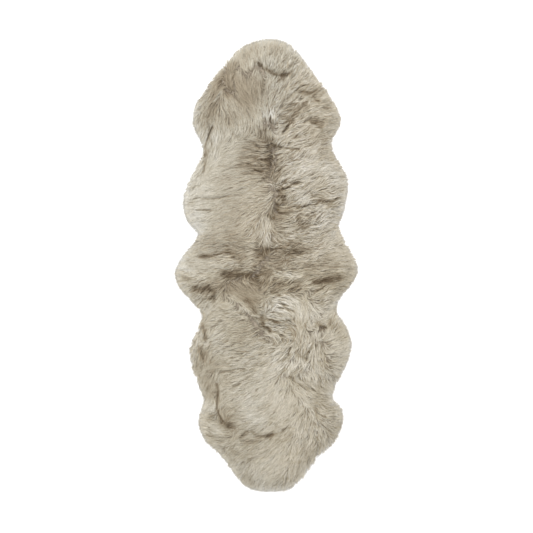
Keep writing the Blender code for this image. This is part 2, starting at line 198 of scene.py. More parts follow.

# Creases and tufts. The creases are real dips with painted shade in them, the tufts are painted light.
# Columns: half width, tone, then the points that each runs through
MARKS = (
    # dark, painted shade in the creases: upper skin
    (8, -1, ((-29, 802), (-6, 779), (22, 767), (54, 755), (86, 759))),
    (4, -0.6, ((86, 759), (58, 739), (42, 727))), (12.7, -0.45, ((122, 826), (146, 802))),
    (23.9, -0.45, ((-137, 802), (-161, 763), (-193, 723))),
    (23.9, -0.5, ((-209, 671), (-213, 623), (-233, 591))), (23.9, -0.25, ((-129, 771), (-149, 683))),
    (39.8, -0.15, ((-105, 763), (-49, 691))), (11.9, -0.55, ((138, 691), (170, 683), (198, 691))),
    (10, -0.5, ((182, 683), (205, 655))), (13.9, -0.5, ((70, 627), (118, 619), (158, 631))),
    (11.9, -0.4, ((66, 587), (102, 571))), (15.9, -0.65, ((178, 579), (221, 567))),
    (4.8, -0.9, ((18, 583), (18, 548))), (4.8, -0.6, ((66, 524), (86, 548))),
    (4.4, -0.6, ((118, 500), (130, 516))),
    (23.9, -0.5, ((-18, 528), (10, 496), (18, 448), (6, 404), (14, 356))),
    (10, -0.45, ((6, 500), (34, 468), (18, 428), (22, 396))),
    (12, -0.55, ((54, 380), (42, 333), (58, 301), (66, 261))),
    (4, -0.8, ((66, 301), (102, 321), (142, 329))), (4.4, -0.8, ((38, 476), (70, 464), (130, 464))),
    (15.9, -0.45, ((14, 213), (38, 221), (90, 213))), (10, -0.45, ((70, 245), (134, 229), (182, 241))),
    (6, -0.7, ((6, 197), (30, 185))), (4, -0.25, ((-113, 428), (-37, 436))),
    (4, -0.4, ((-129, 388), (-41, 396))), (5.2, -0.6, ((-49, 380), (-14, 372))),
    (15.9, -0.5, ((202, 277), (237, 249), (273, 245))), (6, -0.6, ((194, 237), (221, 261))),
    (11.9, -0.3, ((150, 205), (205, 189))),
    (5.6, -0.5, ((-217, 548), (-237, 492), (-245, 428), (-248, 372))),
    (4.4, -0.45, ((-312, 245), (-276, 269), (-217, 265))),
    (3.6, -0.28, ((-217, 265), (-153, 273), (-90, 283))), (4.8, -0.4, ((-276, 221), (-221, 217))),
    (19.9, -0.22, ((-248, 102), (-209, 78))), (6, -0.7, ((-268, 34), (-217, 38), (-177, 50), (-137, 50))),
    (8, -0.5, ((-245, 34), (-217, 34))), (8, -0.4, ((-153, 74), (-145, 50))),
    (11.9, -0.45, ((-133, 38), (-105, 14))), (21.9, -0.6, ((-33, 54), (6, 50), (54, 62), (134, 54))),
    (8, -0.5, ((-10, 62), (38, 66))), (8, -0.4, ((110, 62), (130, 42))),
    (15.9, -0.4, ((-25, 26), (78, 14))), (11.9, -0.6, ((-14, -10), (22, -26))),
    (5.2, -0.7, ((18, -2), (62, -18))), (19.9, -0.9, ((-161, -34), (-105, -38), (-41, -46))),
    (13.9, -0.6, ((-22, -26), (6, -42))), (11.9, -0.35, ((58, 90), (114, 86))),
    (13.9, -0.35, ((130, -2), (186, -10))), (4.8, -0.3, ((213, -2), (333, -6))),
    (15.9, -0.85, ((194, -66), (245, -58), (297, -46))), (6, -0.45, ((217, -86), (190, -110))),
    (3.2, -0.6, ((-59, 448), (-29, 453))), (3.2, -0.45, ((-105, 427), (-73, 423), (-37, 428))),
    (3.2, -0.5, ((-121, 397), (-91, 399))), (2.8, -0.5, ((-77, 403), (-57, 402))),
    (4.4, -0.85, ((-45, 380), (-22, 374))), (3.2, -0.5, ((-93, 466), (-61, 460))),
    (3.2, -0.6, ((-53, 490), (-25, 464))), (3.2, -0.5, ((-89, 360), (-57, 364))),
    (2.8, -0.5, ((-105, 331), (-77, 337))), (5.2, -1, ((-22, 418), (-16, 423))),
    (3.6, -1, ((-4, 419), (10, 426), (24, 434))), (5.2, -1, ((18, 414), (16, 403))),
    (5.2, -1, ((36, 474), (56, 464))), (4.8, -0.8, ((4, 468), (4, 464))),
    (4.4, -0.9, ((18, 446), (24, 448))), (3.6, -0.7, ((30, 458), (34, 461))),
    (4, -0.7, ((24, 504), (22, 496))), (3.2, -0.6, ((2, 396), (36, 398))),
    (5.2, -0.95, ((46, 372), (60, 388), (76, 396))), (3.6, -0.8, ((30, 346), (42, 358))),
    (3.2, -0.5, ((-16, 347), (0, 344))), (2.8, -0.6, ((18, 333), (38, 334))),
    (4, -0.9, ((65, 331), (72, 334))), (4.8, -1, ((58, 317), (60, 311))), (6.8, -1, ((44, 299), (62, 298))),
    (3.6, -0.8, ((22, 290), (37, 297))), (4.8, -1, ((40, 269), (54, 276), (72, 274))),
    (3.6, -0.8, ((100, 291), (110, 295))), (3.2, -0.85, ((67, 302), (87, 311), (107, 327), (131, 333))),
    (2.8, -0.5, ((50, 443), (88, 442))), (3.6, -0.45, ((58, 408), (87, 420), (110, 443))),
    (3.6, -0.9, ((68, 532), (82, 550), (102, 567))), (3.2, -0.6, ((118, 510), (126, 520))),
    (2.8, -0.6, ((86, 482), (108, 493))), (4, -0.9, ((25, 545), (19, 563))),
    (3.2, -0.5, ((-27, 536), (8, 534))), (5.6, -0.9, ((34, 249), (50, 233), (42, 213))),
    (4, -0.9, ((62, 259), (74, 261))), (3.2, -0.7, ((-213, 552), (-235, 508), (-246, 472), (-246, 436))),
    (3.2, -0.6, ((-231, 460), (-241, 416), (-252, 368))), (2.4, -0.45, ((-217, 504), (-223, 460))),
    (2.8, -0.5, ((-296, 313), (-264, 317))), (2.8, -0.5, ((-209, 265), (-161, 275), (-137, 283))),
    (2.8, -0.5, ((-276, 219), (-221, 220))), (2.4, -0.45, ((-193, 396), (-161, 392))),
    (2.4, -0.45, ((-145, 386), (-113, 390))), (2.4, -0.45, ((-169, 297), (-141, 307))),
    (2.8, -0.7, ((74, 466), (102, 461), (130, 463), (138, 472))), (2.8, -0.6, ((110, 504), (126, 522))),
    (2.4, -0.5, ((150, 468), (182, 478))), (2.8, -0.5, ((126, 396), (150, 416))),
    (2.8, -0.6, ((190, 346), (225, 355))), (2.8, -0.6, ((166, 354), (186, 362))),
    (2.8, -0.6, ((138, 309), (162, 318))), (2.8, -0.7, ((86, 225), (118, 235), (154, 231), (170, 243))),
    (3.2, -0.8, ((190, 239), (213, 263))), (4.8, -0.8, ((205, 257), (253, 255), (293, 269))),
    (3.2, -0.7, ((38, 207), (70, 209), (102, 217))), (3.2, -0.7, ((118, 191), (138, 207))),
    (3.2, -0.8, ((178, 209), (198, 214))), (2.8, -0.6, ((154, 196), (178, 201))),
    (2.8, -0.6, ((142, 161), (166, 165), (198, 161))), (2.8, -0.6, ((126, 173), (146, 177))),
    (3.6, -0.7, ((38, 197), (22, 185))), (2.8, -0.7, ((66, 147), (82, 151))),
    (2.8, -0.6, ((174, 265), (190, 275))), (2.8, -0.5, ((213, 297), (233, 305))),
    (3.2, -0.8, ((118, 695), (142, 713), (162, 719))),
    (3.6, -0.7, ((130, 687), (154, 695), (178, 683), (202, 703))),
    (3.2, -0.6, ((182, 671), (198, 657), (209, 655))), (2.8, -0.6, ((46, 729), (70, 743))),
    (2.8, -0.5, ((134, 727), (130, 707))), (2.8, -0.5, ((14, 834), (26, 850))),
    (2.8, -0.5, ((94, 763), (106, 777))), (2.8, -0.5, ((66, 810), (78, 826))),
    (2.8, -0.5, ((98, 794), (118, 806))), (3.2, -0.6, ((86, 637), (114, 647))),
    (3.2, -0.7, ((86, 613), (102, 621))), (3.2, -0.6, ((98, 593), (122, 603))),
    (3.6, -0.8, ((90, 563), (110, 583))), (3.2, -0.8, ((146, 565), (170, 582))),
    (2.8, -0.6, ((158, 609), (174, 617))), (4.4, -0.85, ((178, 569), (198, 565), (217, 575))),
    (3.2, -0.6, ((205, 548), (225, 552))), (2.8, -0.5, ((130, 659), (146, 661))),
    (2.8, -0.5, ((209, 621), (229, 631))), (2.8, -0.5, ((58, 675), (66, 689))),
    # dark, painted shade in the creases: lower skin
    (16.7, -0.85, ((-284, -94), (-248, -98))), (11.2, -0.65, ((-233, -86), (-209, -106), (-217, -137))),
    (9.2, -0.6, ((-229, -133), (-209, -133))), (8, -0.45, ((-336, -46), (-308, -58))),
    (15.9, -0.35, ((-41, -74), (54, -70), (130, -74))), (8, -0.55, ((90, -102), (130, -78))),
    (6, -0.7, ((22, -106), (54, -117))), (11.9, -0.7, ((-77, -137), (-57, -161), (-41, -185))),
    (19.9, -0.25, ((-105, -121), (-41, -137))), (9.6, -1, ((-18, -201), (-14, -233), (10, -261))),
    (5.2, -0.7, ((-6, -213), (46, -221))), (6, -0.5, ((14, -261), (46, -269), (74, -281))),
    (10, -0.45, ((90, -245), (114, -273))), (4.8, -0.7, ((42, -149), (86, -161))),
    (4.4, -0.7, ((50, -169), (102, -181))), (10, -0.8, ((202, -233), (225, -249))),
    (11.2, -0.6, ((253, -217), (257, -245))), (7.2, -0.8, ((-256, -237), (-241, -293))),
    (11.9, -0.55, ((-264, -329), (-252, -372))), (4.4, -0.4, ((-221, -297), (-229, -325))),
    (5.6, -0.8, ((94, -329), (86, -356))), (6, -0.7, ((130, -356), (158, -372))),
    (4.4, -0.55, ((46, -384), (78, -368))), (4.8, -0.5, ((154, -356), (178, -333))),
    (4.8, -0.35, ((229, -337), (233, -428))),
    (4.8, -0.5, ((-185, -424), (-137, -416), (-113, -408), (-85, -412))),
    (7.2, -0.45, ((-233, -420), (-209, -424))), (23.9, -0.35, ((-241, -464), (-209, -496))),
    (7.2, -0.6, ((82, -448), (106, -444))), (6, -0.45, ((102, -456), (138, -476), (186, -496))),
    (15.9, -0.28, ((194, -484), (221, -520))), (6, -0.6, ((-129, -480), (-109, -468))),
    (6.4, -0.85, ((-197, -472), (-193, -520), (-197, -567), (-185, -599), (-177, -619))),
    (11.9, -0.65, ((-177, -623), (-141, -643))), (23.9, -0.42, ((-165, -587), (-129, -647))),
    (6, -0.55, ((-105, -683), (-81, -659), (-57, -659), (-41, -675), (-18, -679), (22, -671))),
    (11.2, -0.38, ((-97, -695), (-57, -699), (-18, -687), (22, -667))),
    (6, -0.75, ((-2, -683), (22, -671))), (4.8, -0.45, ((66, -651), (102, -643))),
    (11.9, -0.35, ((-137, -735), (-109, -751))), (6, -0.4, ((-237, -679), (-213, -683))),
    (6, -0.5, ((198, -571), (205, -599))), (7.2, -0.35, ((78, -846), (98, -858))),
    (6, -0.3, ((114, -783), (154, -783))), (3.6, -1, ((50, -152), (66, -154), (81, -159))),
    (3.2, -0.9, ((49, -168), (70, -168), (91, -174))), (3.2, -0.7, ((102, -178), (107, -180))),
    (3.2, -0.45, ((22, -187), (46, -191), (62, -194))), (3.2, -0.65, ((78, -212), (96, -219))),
    (4, -0.9, ((4, -211), (22, -219), (44, -223))), (3.6, -0.8, ((33, -261), (42, -259))),
    (3.2, -0.7, ((70, -261), (72, -269))), (3.2, -0.7, ((60, -274), (62, -281))),
    (3.6, -0.8, ((100, -269), (102, -275))), (3.2, -0.6, ((110, -207), (113, -221))),
    (4, -0.7, ((-37, -207), (-24, -233))), (3.2, -0.5, ((16, -133), (24, -149), (22, -167))),
    (2.8, -0.4, ((-8, -149), (-10, -173))), (2.8, -0.4, ((4, -141), (4, -169))),
    (3.2, -0.5, ((70, -125), (94, -139))), (3.2, -0.6, ((30, -94), (46, -108))),
    (3.6, -0.6, ((118, -104), (138, -90))), (3.6, -0.7, ((205, -102), (233, -84))),
    (3.2, -0.7, ((170, -121), (186, -137))), (2.8, -0.6, ((213, -149), (225, -141))),
    (4, -1, ((211, -241), (215, -257))), (4, -1, ((229, -243), (237, -247))),
    # light, painted light on the tufts
    (23.9, 0.4, ((-2, 619), (34, 595), (50, 548))), (4.8, 0.6, ((-173, 691), (-205, 655))),
    (23.9, 0.35, ((-2, 189), (-2, 110))), (43.8, 0.16, ((110, 364), (237, 396))),
    (12.7, 0.5, ((26, -14), (70, -26), (122, -42))),
    (19.9, 0.32, ((10, -137), (62, -117), (118, -141), (134, -201))),
    (15.9, 0.2, ((54, -189), (118, -209))), (25.9, 0.3, ((-65, -607), (6, -639))),
    (15.9, 0.15, ((-49, -560), (-18, -528))), (27.9, 0.16, ((-169, -512), (-73, -536))),
    (19.9, 0.15, ((142, -544), (194, -556))), (13.9, 0.3, ((154, 30), (209, 34))),
    (19.9, 0.18, ((-264, 14), (-161, 6))), (15.9, 0.25, ((-328, -10), (-272, -38))),
    (43.8, 0.16, ((-280, 333), (-248, 157))), (35.8, 0.18, ((174, -129), (237, -177))),
    (27.9, 0.14, ((-18, -344), (38, -384))), (15.9, 0.2, ((-205, 524), (-197, 372))),
    (23.9, 0.15, ((253, 133), (309, 14))), (23.9, 0.15, ((-161, -337), (-241, -185))),
    (3.6, 0.8, ((-175, 695), (-193, 675), (-209, 653))), (3.6, 0.7, ((-10, 571), (6, 556), (26, 548))),
    (3.2, 0.5, ((6, 587), (26, 567))), (3.6, 0.35, ((22, 611), (38, 587))),
    (3.6, 0.6, ((62, 579), (74, 560))), (4, 0.5, ((68, 348), (86, 356))), (4, 0.4, ((34, 317), (46, 325))),
    (4.8, 0.6, ((58, -115), (90, -123), (112, -143))), (4, 0.5, ((12, -133), (8, -169))),
    (4, 0.5, ((38, -140), (70, -143), (94, -157))), (4, 0.5, ((22, -175), (50, -179), (78, -188))),
    (4, 0.5, ((6, -199), (38, -207), (70, -211))), (4, 0.5, ((124, -153), (128, -193))),
    (4, 0.5, ((22, -24), (62, -37), (110, -44))), (4, 0.4, ((38, -16), (86, -28))),
    (4, 0.5, ((-69, 173), (-41, 209))), (4, 0.5, ((-45, 149), (-18, 189))),
    (4, 0.5, ((-14, 125), (6, 165))), (4, 0.5, ((86, 516), (106, 536))), (4, 0.5, ((98, 492), (126, 508))),
)

# Broad shades of the wool, rounded from measured differences to the photo.
# Columns: half width, tone, then the points that each runs through
# Painted shade and painted light over the wool's broad form, with some of its own tone
SHADES = (
    (64, -0.19, ((-201, 715), (-105, 691), (-41, 667))), (36, -0.06, ((-89, 643), (-33, 627))),
    (40, -0.17, ((-65, 476), (-33, 436), (-25, 388))), (36, -0.18, ((-217, -82), (-65, -98))),
    (32, -0.13, ((-25, -74), (58, -86))), (28, -0.12, ((-153, 62), (-105, 34))),
    (36, -0.1, ((102, 205), (54, 189))), (135, 0.14, ((6, -400), (38, -536), (54, -695), (38, -878))),
    (56, 0.11, ((198, -201), (293, -321))), (40, 0.13, ((277, 356), (305, 237))),
    (36, 0.12, ((38, -161), (106, -165))), (28, 0.1, ((-284, 197), (-264, 153))),
    (48, -0.08, ((94, 6), (253, -18), (237, -86))), (28, -0.11, ((-93, -137), (-49, -153))),
    (24, 0.08, ((-49, 794), (-10, 794))), (24, -0.08, ((70, 595), (102, 595))),
    (32, -0.09, ((-137, 110), (-97, 78))), (40, 0.06, ((102, -360), (70, -408))),
)

# Round light and dark places, rounded from such differences too. Columns: x, y, radius, tone
# Painted light and painted shade in round places, with some of the wool's own tone
GLOWS = (
    (-241, 285, 48, 0.07), (-248, 213, 28, 0.05), (-81, 273, 48, 0.07), (-137, -145, 60, 0.13),
    (-81, -169, 32, 0.07), (-217, -567, 36, 0.14), (-213, -496, 32, 0.08), (166, 400, 68, 0.15),
    (229, 181, 44, 0.12), (38, 317, 32, 0.07), (-25, 635, 36, 0.13), (-137, 579, 44, -0.09),
    (-89, 396, 36, -0.09), (54, 18, 44, -0.09), (54, -102, 36, -0.09), (-113, -297, 60, -0.09),
    (-241, -360, 40, -0.11), (-25, -360, 60, -0.07), (213, -440, 88, 0.08), (-18, -711, 80, -0.09),
    (54, -683, 36, -0.07), (221, -699, 48, 0.07), (134, 157, 32, -0.08), (261, -125, 32, 0.1),
    (170, -201, 32, 0.1), (134, 18, 36, 0.07), (-201, -655, 36, 0.07), (-201, -90, 32, 0.06),
    (-81, 854, 52, -0.15), (-33, 747, 32, -0.08), (174, 715, 32, 0.11), (-217, 615, 36, -0.12),
    (6, 595, 28, 0.1), (-61, 536, 28, -0.1), (-29, 472, 24, -0.1), (-241, 496, 32, 0.08),
    (-105, 468, 32, 0.07), (134, 261, 64, 0.15), (110, 193, 32, 0.06), (-113, 253, 64, -0.09),
    (-229, 117, 40, -0.11), (86, 62, 48, -0.07), (34, -2, 28, -0.09), (265, 102, 32, 0.09),
    (-296, -82, 32, 0.12), (-177, -86, 36, -0.08), (78, -169, 44, 0.13), (-225, -281, 40, 0.09),
    (-121, -329, 32, -0.08), (150, -297, 36, 0.1), (-105, -488, 32, 0.08), (-161, -631, 36, -0.08),
    (86, -779, 28, -0.07), (-113, -806, 24, 0.08), (253, -615, 32, 0.08), (-121, -82, 32, -0.06),
    (54, 253, 48, -0.08), (-10, 492, 32, -0.08), (138, 74, 44, -0.08), (-169, -161, 40, -0.1),
    (-6, -125, 32, -0.11), (-264, -217, 40, -0.08), (134, -448, 56, -0.07), (-233, -520, 36, -0.07),
    (245, 54, 36, 0.08), (-205, -337, 36, 0.07), (118, 552, 24, 0.08), (34, 870, 36, -0.08),
)

# Smooth wool and ruffled wool. Columns: x, y, radius, amount
RUFFLES = (
    (-165, 360, 112, -0.6), (-205, 201, 88, -0.5), (-245, 14, 64, -0.4), (-105, -257, 64, -0.2),
    (-105, 699, 96, -0.35), (253, 42, 60, -0.4), (-225, -416, 40, -0.3), (174, 420, 112, 0.2),
    (160, 195, 88, 0.9), (34, 579, 40, 1), (6, 440, 48, 1), (62, 301, 32, 1), (54, 54, 56, 1.2),
    (-105, -38, 48, 0.8), (-245, -106, 40, 0.8), (66, -157, 56, 0.6), (34, -249, 48, 0.9),
    (154, -376, 88, 0.7), (54, -755, 119, -0.4), (213, -635, 64, 0.4), (-81, 794, 56, -0.3),
    (-153, 739, 48, -0.2), (14, 866, 48, -0.2), (142, 619, 60, 0.35), (14, 540, 40, 0.25),
    (62, 404, 52, 0.55), (110, 460, 40, 0.25), (205, 412, 52, -0.25), (-137, 237, 96, -0.3),
    (-145, 165, 56, -0.2), (78, 293, 40, 0.3), (150, 157, 56, 0.4), (54, -58, 52, 0.35),
    (-121, -98, 56, -0.25), (-241, -98, 40, 0.2), (-256, -305, 72, 0.2), (-18, -217, 32, 0.3),
    (-65, -504, 127, -0.3), (102, -552, 80, -0.25), (38, -416, 48, -0.25), (38, -790, 72, -0.2),
    (-113, 452, 72, -0.3), (-105, 301, 72, -0.2), (-101, -121, 60, -0.35), (-268, 269, 72, -0.2),
    (-177, 149, 68, -0.15), (-181, -508, 68, -0.3), (82, -524, 72, -0.3), (269, -313, 56, -0.35),
    (130, -157, 60, -0.35), (301, 34, 48, -0.35), (-181, 775, 64, -0.4), (-14, 854, 56, -0.35),
    (-77, 619, 64, -0.3), (-149, -659, 60, -0.25), (249, 125, 52, -0.2), (-264, 14, 56, -0.2),
    (-57, -217, 56, 0.1), (22, 364, 36, 0.15), (50, 739, 32, 0.25), (142, 30, 96, 0.28),
    (42, -18, 52, 0.18), (50, 862, 48, -0.3), (-109, 771, 56, -0.28), (-18, 456, 44, -0.25),
    (-145, -125, 52, -0.3), (118, -149, 48, -0.25), (-209, -508, 52, -0.28), (241, -352, 48, -0.2),
    (106, -444, 56, -0.25), (-77, -344, 48, 0.25), (62, -858, 48, 0.25), (-209, 173, 48, 0.15),
    (-272, 30, 40, -0.2), (237, 719, 40, -0.15),
)

# Places where the tips of the wool reach further out. Columns: x, y, radius, distance
BEYOND = (
    (106, 810, 104, 4), (134, -814, 104, 4), (-113, 818, 96, 2.6), (-105, -814, 88, 1.2),
    (-316, -344, 64, -3), (-280, -476, 48, -2), (205, -755, 64, 1.6), (158, 759, 56, -1.2),
    (-177, -814, 64, -1),
)


# The tables in metres


def metres(lengths):
    return np.array(lengths) / 1000


def route_rows(table):
    """Rows of half width, tone and route."""
    return [(round(half_width / 1000, 5), tone, metres(route)) for half_width, tone, route in table]


# The flat grid


def grid_points():
    """The grid's points, row by row."""
    rows, columns = np.mgrid[: GRID_SHAPE[0], : GRID_SHAPE[1]]
    return GRID_LOW + GRID_STEP * np.stack([columns.ravel(), rows.ravel()], axis=1)


def read(field, points):
    """Values of a field on the grid at any points, between its own points."""
    place = (points - GRID_LOW) / GRID_STEP
    limit = np.array(GRID_SHAPE)[::-1] - 1.001
    place = np.clip(place, 0, limit)
    column, row = np.floor(place).astype(int)[..., 0], np.floor(place).astype(int)[..., 1]
    part = place - np.stack([column, row], axis=-1)
    across, along = part[..., 0], part[..., 1]
    if field.ndim == 3:
        across, along = across[..., None], along[..., None]
    low = field[row, column] * (1 - across) + field[row, column + 1] * across
    high = field[row + 1, column] * (1 - across) + field[row + 1, column + 1] * across
    return low * (1 - along) + high * along


def blurred(field, sigma):
    """A field on the grid, blurred over this distance in metres."""
    rows = np.fft.fftfreq(field.shape[0], GRID_STEP)[:, None]
    columns = np.fft.rfftfreq(field.shape[1], GRID_STEP)[None, :]
    damping = np.exp(-2 * (math.pi * sigma) ** 2 * (rows**2 + columns**2))
    return np.fft.irfft2(np.fft.rfft2(field) * damping, s=field.shape)


def clouds(chance, size):
    """Smooth random values on the grid, with a spread of 1."""
    field = blurred(chance.standard_normal(GRID_SHAPE), size)
    return field / field.std()


# The outline


def smooth_loop(corners, steps=40):
    """A centripetal Catmull-Rom curve through a closed loop of corners."""
    start, end = corners, np.roll(corners, -1, axis=0)
    before, after = np.roll(corners, 1, axis=0), np.roll(corners, -2, axis=0)
    span_in = np.sqrt(np.linalg.norm(start - before, axis=1))[:, None]
    span = np.sqrt(np.linalg.norm(end - start, axis=1))[:, None]
    span_out = np.sqrt(np.linalg.norm(after - end, axis=1))[:, None]
    leave = (end - start) + span * ((start - before) / span_in - (end - before) / (span_in + span))
    arrive = (end - start) + span * ((after - end) / span_out - (after - start) / (span + span_out))
    t = np.arange(steps)[None, :, None] / steps
    start, end, leave, arrive = (part[:, None, :] for part in (start, end, leave, arrive))
    curve = (2 * t**3 - 3 * t**2 + 1) * start + (t**3 - 2 * t**2 + t) * leave
    curve = curve + (3 * t**2 - 2 * t**3) * end + (t**3 - t**2) * arrive
    return curve.reshape(-1, 2)


def unit(vectors):
    return vectors / np.maximum(np.linalg.norm(vectors, axis=-1, keepdims=True), 1e-9)


def turned(directions, angles):
    cos, sin = np.cos(angles), np.sin(angles)
    x, y = directions[..., 0], directions[..., 1]
    return np.stack([cos * x - sin * y, sin * x + cos * y], axis=-1)


def right_hand(tangents):
    return unit(np.stack([tangents[..., 1], -tangents[..., 0]], axis=-1))


LOOP = smooth_loop(metres(OUTLINE))
LOOP_INWARD = right_hand(np.roll(LOOP, -1, axis=0) - np.roll(LOOP, 1, axis=0))


def nearest(points, targets):
    """Index of the nearest target to each point."""
    tree = KDTree(len(targets))
    for i, (x, y) in enumerate(targets):
        tree.insert((x, y, 0), i)
    tree.balance()
    return np.array([tree.find((x, y, 0))[1] for x, y in points])


def rim_fields():
    """On the grid: the distance inside the wool's outer edge, and the direction straight out of it."""
    points = grid_points()
    found = nearest(points, LOOP)
    offsets = points - LOOP[found]
    inward = (offsets * LOOP_INWARD[found]).sum(axis=1)
    far = np.linalg.norm(offsets, axis=1)
    depth = np.where(far < 2 * GRID_STEP, inward, np.sign(inward) * far)
    return depth.reshape(GRID_SHAPE), -LOOP_INWARD[found].reshape(*GRID_SHAPE, 2)


# What the solids and the tables say


def solid_height():
    """Height of the solid wool over each point of the grid, 0 where there is none."""
    corners, faces = [], []
    for name in ("wool_upper", "wool_lower"):
        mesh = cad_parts[name].data
        faces += [[i + len(corners) for i in face.vertices] for face in mesh.polygons]
        corners += [corner.co.copy() for corner in mesh.vertices]
    tree = BVHTree.FromPolygons(corners, faces)
    down = Vector((0, 0, -1))
    hits = [tree.ray_cast(Vector((x, y, 1)), down)[0] for x, y in grid_points()]
    return np.array([hit.z if hit else 0 for hit in hits]).reshape(GRID_SHAPE)


def route_distance(points, route):
    """Distance of each point from a route, squared."""
    found = np.full(len(points), np.inf)
    for start, end in zip(route[:-1], route[1:]):
        along = np.clip((points - start) @ (end - start) / ((end - start) @ (end - start)), 0, 1)
        found = np.minimum(found, ((points - start - along[:, None] * (end - start)) ** 2).sum(axis=1))
    return found


def around(route, reach):
    """The window of the grid around a route, and each of its points' squared distance from the route."""
    route = np.array(route)
    low = np.maximum((route.min(axis=0) - reach - GRID_LOW) // GRID_STEP, 0).astype(int)
    high = ((route.max(axis=0) + reach - GRID_LOW) // GRID_STEP + 2).astype(int)
    rows, columns = slice(low[1], min(high[1], GRID_SHAPE[0])), slice(low[0], min(high[0], GRID_SHAPE[1]))
    grid = np.mgrid[rows, columns]
    points = GRID_LOW + GRID_STEP * np.stack([grid[1].ravel(), grid[0].ravel()], axis=1)
    return (rows, columns), route_distance(points, route).reshape(grid.shape[1:])


def comb_field(depth, outward, ruffled, chance):
    """The direction in which the wool is combed, over the grid."""
    total, weight = np.zeros((*GRID_SHAPE, 2)), np.full((*GRID_SHAPE, 1), 1e-3)
    reach = 0.008
    for stroke in map(metres, COMB):
        for start, end in zip(stroke[:-1], stroke[1:]):
            window, far = around((start, end), 0.15)
            near = 1 / (far + reach**2)[..., None] ** 2
            total[window] += near * unit(end - start)
            weight[window] += near
    total = total / weight
    stray = np.stack([clouds(chance, 0.0045), clouds(chance, 0.0045)], axis=-1)
    total = unit(total + 0.12 * ruffled[..., None] * stray)
    at_rim = 1.1 * np.exp(-np.maximum(depth, 0) / 0.012)[..., None]
    total = unit(total + at_rim * outward)
    turn = np.radians(5 * clouds(chance, 0.018) + 6 * clouds(chance, 0.006)) * ruffled
    return turned(total, turn)


def shade_field():
    """The broad painted shade and painted light over the grid."""
    found = np.zeros(GRID_SHAPE)
    for half_width, tone, route in route_rows(SHADES):
        window, far = around(route, 3 * half_width)
        found[window] += tone * np.exp(-far / half_width**2)
    return found


def mark_fields(marks):
    """Over the grid: how dark the creases are painted, as shade, and how light the tufts are painted, as
    light, from 0 to 1.
    """
    dark, light = np.zeros(GRID_SHAPE), np.zeros(GRID_SHAPE)
    for half_width, tone, route in marks:
        window, far = around(route, 3 * half_width)
        strength = abs(tone) * np.exp(-far / half_width**2)
        if tone < 0:
            dark[window] = 1 - (1 - dark[window]) * (1 - strength)
        else:
            light[window] = np.maximum(light[window], strength)
    return dark, light


def patches(table):
    """The sum of the round patches of a table over the grid."""
    found = np.zeros(GRID_SHAPE)
    for *place, amount in table:
        x, y, radius = metres(place)
        window, far = around(((x, y), (x, y + GRID_STEP)), 3 * radius)
        found[window] += amount * np.exp(-far / radius**2)
    return found


def grown(roots, lengths, turns):
    """Flat paths that follow the comb from the roots: one row of points for each strand."""
    places = [roots]
    heading = turned(read(COMBED, roots), turns)
    for _ in range(PATH_STEPS):
        wanted = turned(read(COMBED, places[-1]), turns)
        heading = unit(0.55 * heading + 0.45 * wanted)
        places.append(places[-1] + heading * lengths[:, None] / PATH_STEPS)
    return np.stack(places, axis=1)


def painted_small_creases(count, chance):
    """Marks of painted shade for short random creases along the comb, most of them where the wool is ruffled.
    """
    roots = chance.uniform(LOOP.min(axis=0), LOOP.max(axis=0), (12 * count, 2))
    kept = (read(DEPTH, roots) > 0.010) & (chance.uniform(0, MOST_RUFFLED, len(roots)) < read(RUFFLED, roots))
    roots = roots[kept][:count]
    ruffle = read(RUFFLED, roots)
    lengths = chance.uniform(0.010, 0.030, len(roots))
    paths = grown(roots, lengths, np.radians(chance.normal(0, 8, len(roots))))
    tones = -chance.uniform(0.10, 0.62, len(roots)) * np.clip(ruffle, 0.3, 1.4)
    return zip(chance.uniform(0.0014, 0.0025, len(roots)), tones, paths[:, ::5])


def wool_height():
    """Height of the wool over the grid: that of the solids, smoothed, and rounded off at the outer edge."""
    inside = (DEPTH > WOOL_INSET).astype(float)
    height = blurred(solid_height() * inside, 0.006) / np.maximum(blurred(inside, 0.006), 1e-3)
    fringe = np.clip(DEPTH / WOOL_INSET, 0, 1)
    height = np.where(inside > 0, height, RIM_HEIGHT * np.sqrt(1 - (1 - fringe) ** 2))
    return np.where(DEPTH > 0, blurred(height, 0.003), 0)


def brightness(chance):
    """How much lighter than its middle tone the wool is over the grid, its creases left out: its own tone,
    painted light and painted shade.
    """
    # Painted shade and painted light of SHADES and GLOWS, with some of the wool's own tone, and painted light
    # on the tufts
    found = shade_field() + patches(GLOWS) + 0.30 * LIGHT
    # Random clouds of the wool's own tone
    found = found + 0.028 * clouds(chance, 0.022) * np.clip(RUFFLED, 0.5, 1)
    found += 0.013 * clouds(chance, 0.008) * np.clip(RUFFLED, 0.4, 1)
    # Painted light near the outer edge, where the white floor shows through the thin wool; ruffled wool
    # painted lighter and smooth wool darker, to even out the shade among ruffled strands
    found += 0.05 * np.exp(-np.maximum(DEPTH, 0) / 0.010) + 0.09 * (np.clip(RUFFLED, 0, 1.5) - 0.85)
    return found


chance = np.random.default_rng(SEED)
DEPTH, OUTWARD = rim_fields()
HEIGHT = wool_height()
RUFFLED = np.clip(1 + patches(RUFFLES), LEAST_RUFFLED, MOST_RUFFLED)
FURTHER = patches([(*place, distance / 1000) for *place, distance in BEYOND])
COMBED = comb_field(DEPTH, OUTWARD, RUFFLED, chance)
# The creases are real dips, with painted shade in them; the tufts are painted light
CREASES, LIGHT = mark_fields(route_rows(MARKS))
DIP = DEEPEST_CREASE * CREASES * np.clip(DEPTH / 0.03, 0, 1)
BRIGHT = brightness(chance)
# Painted shade of short random creases between the strands, with no dip under it
PAINTED_SMALL_CREASES = mark_fields(painted_small_creases(700, chance))[0]
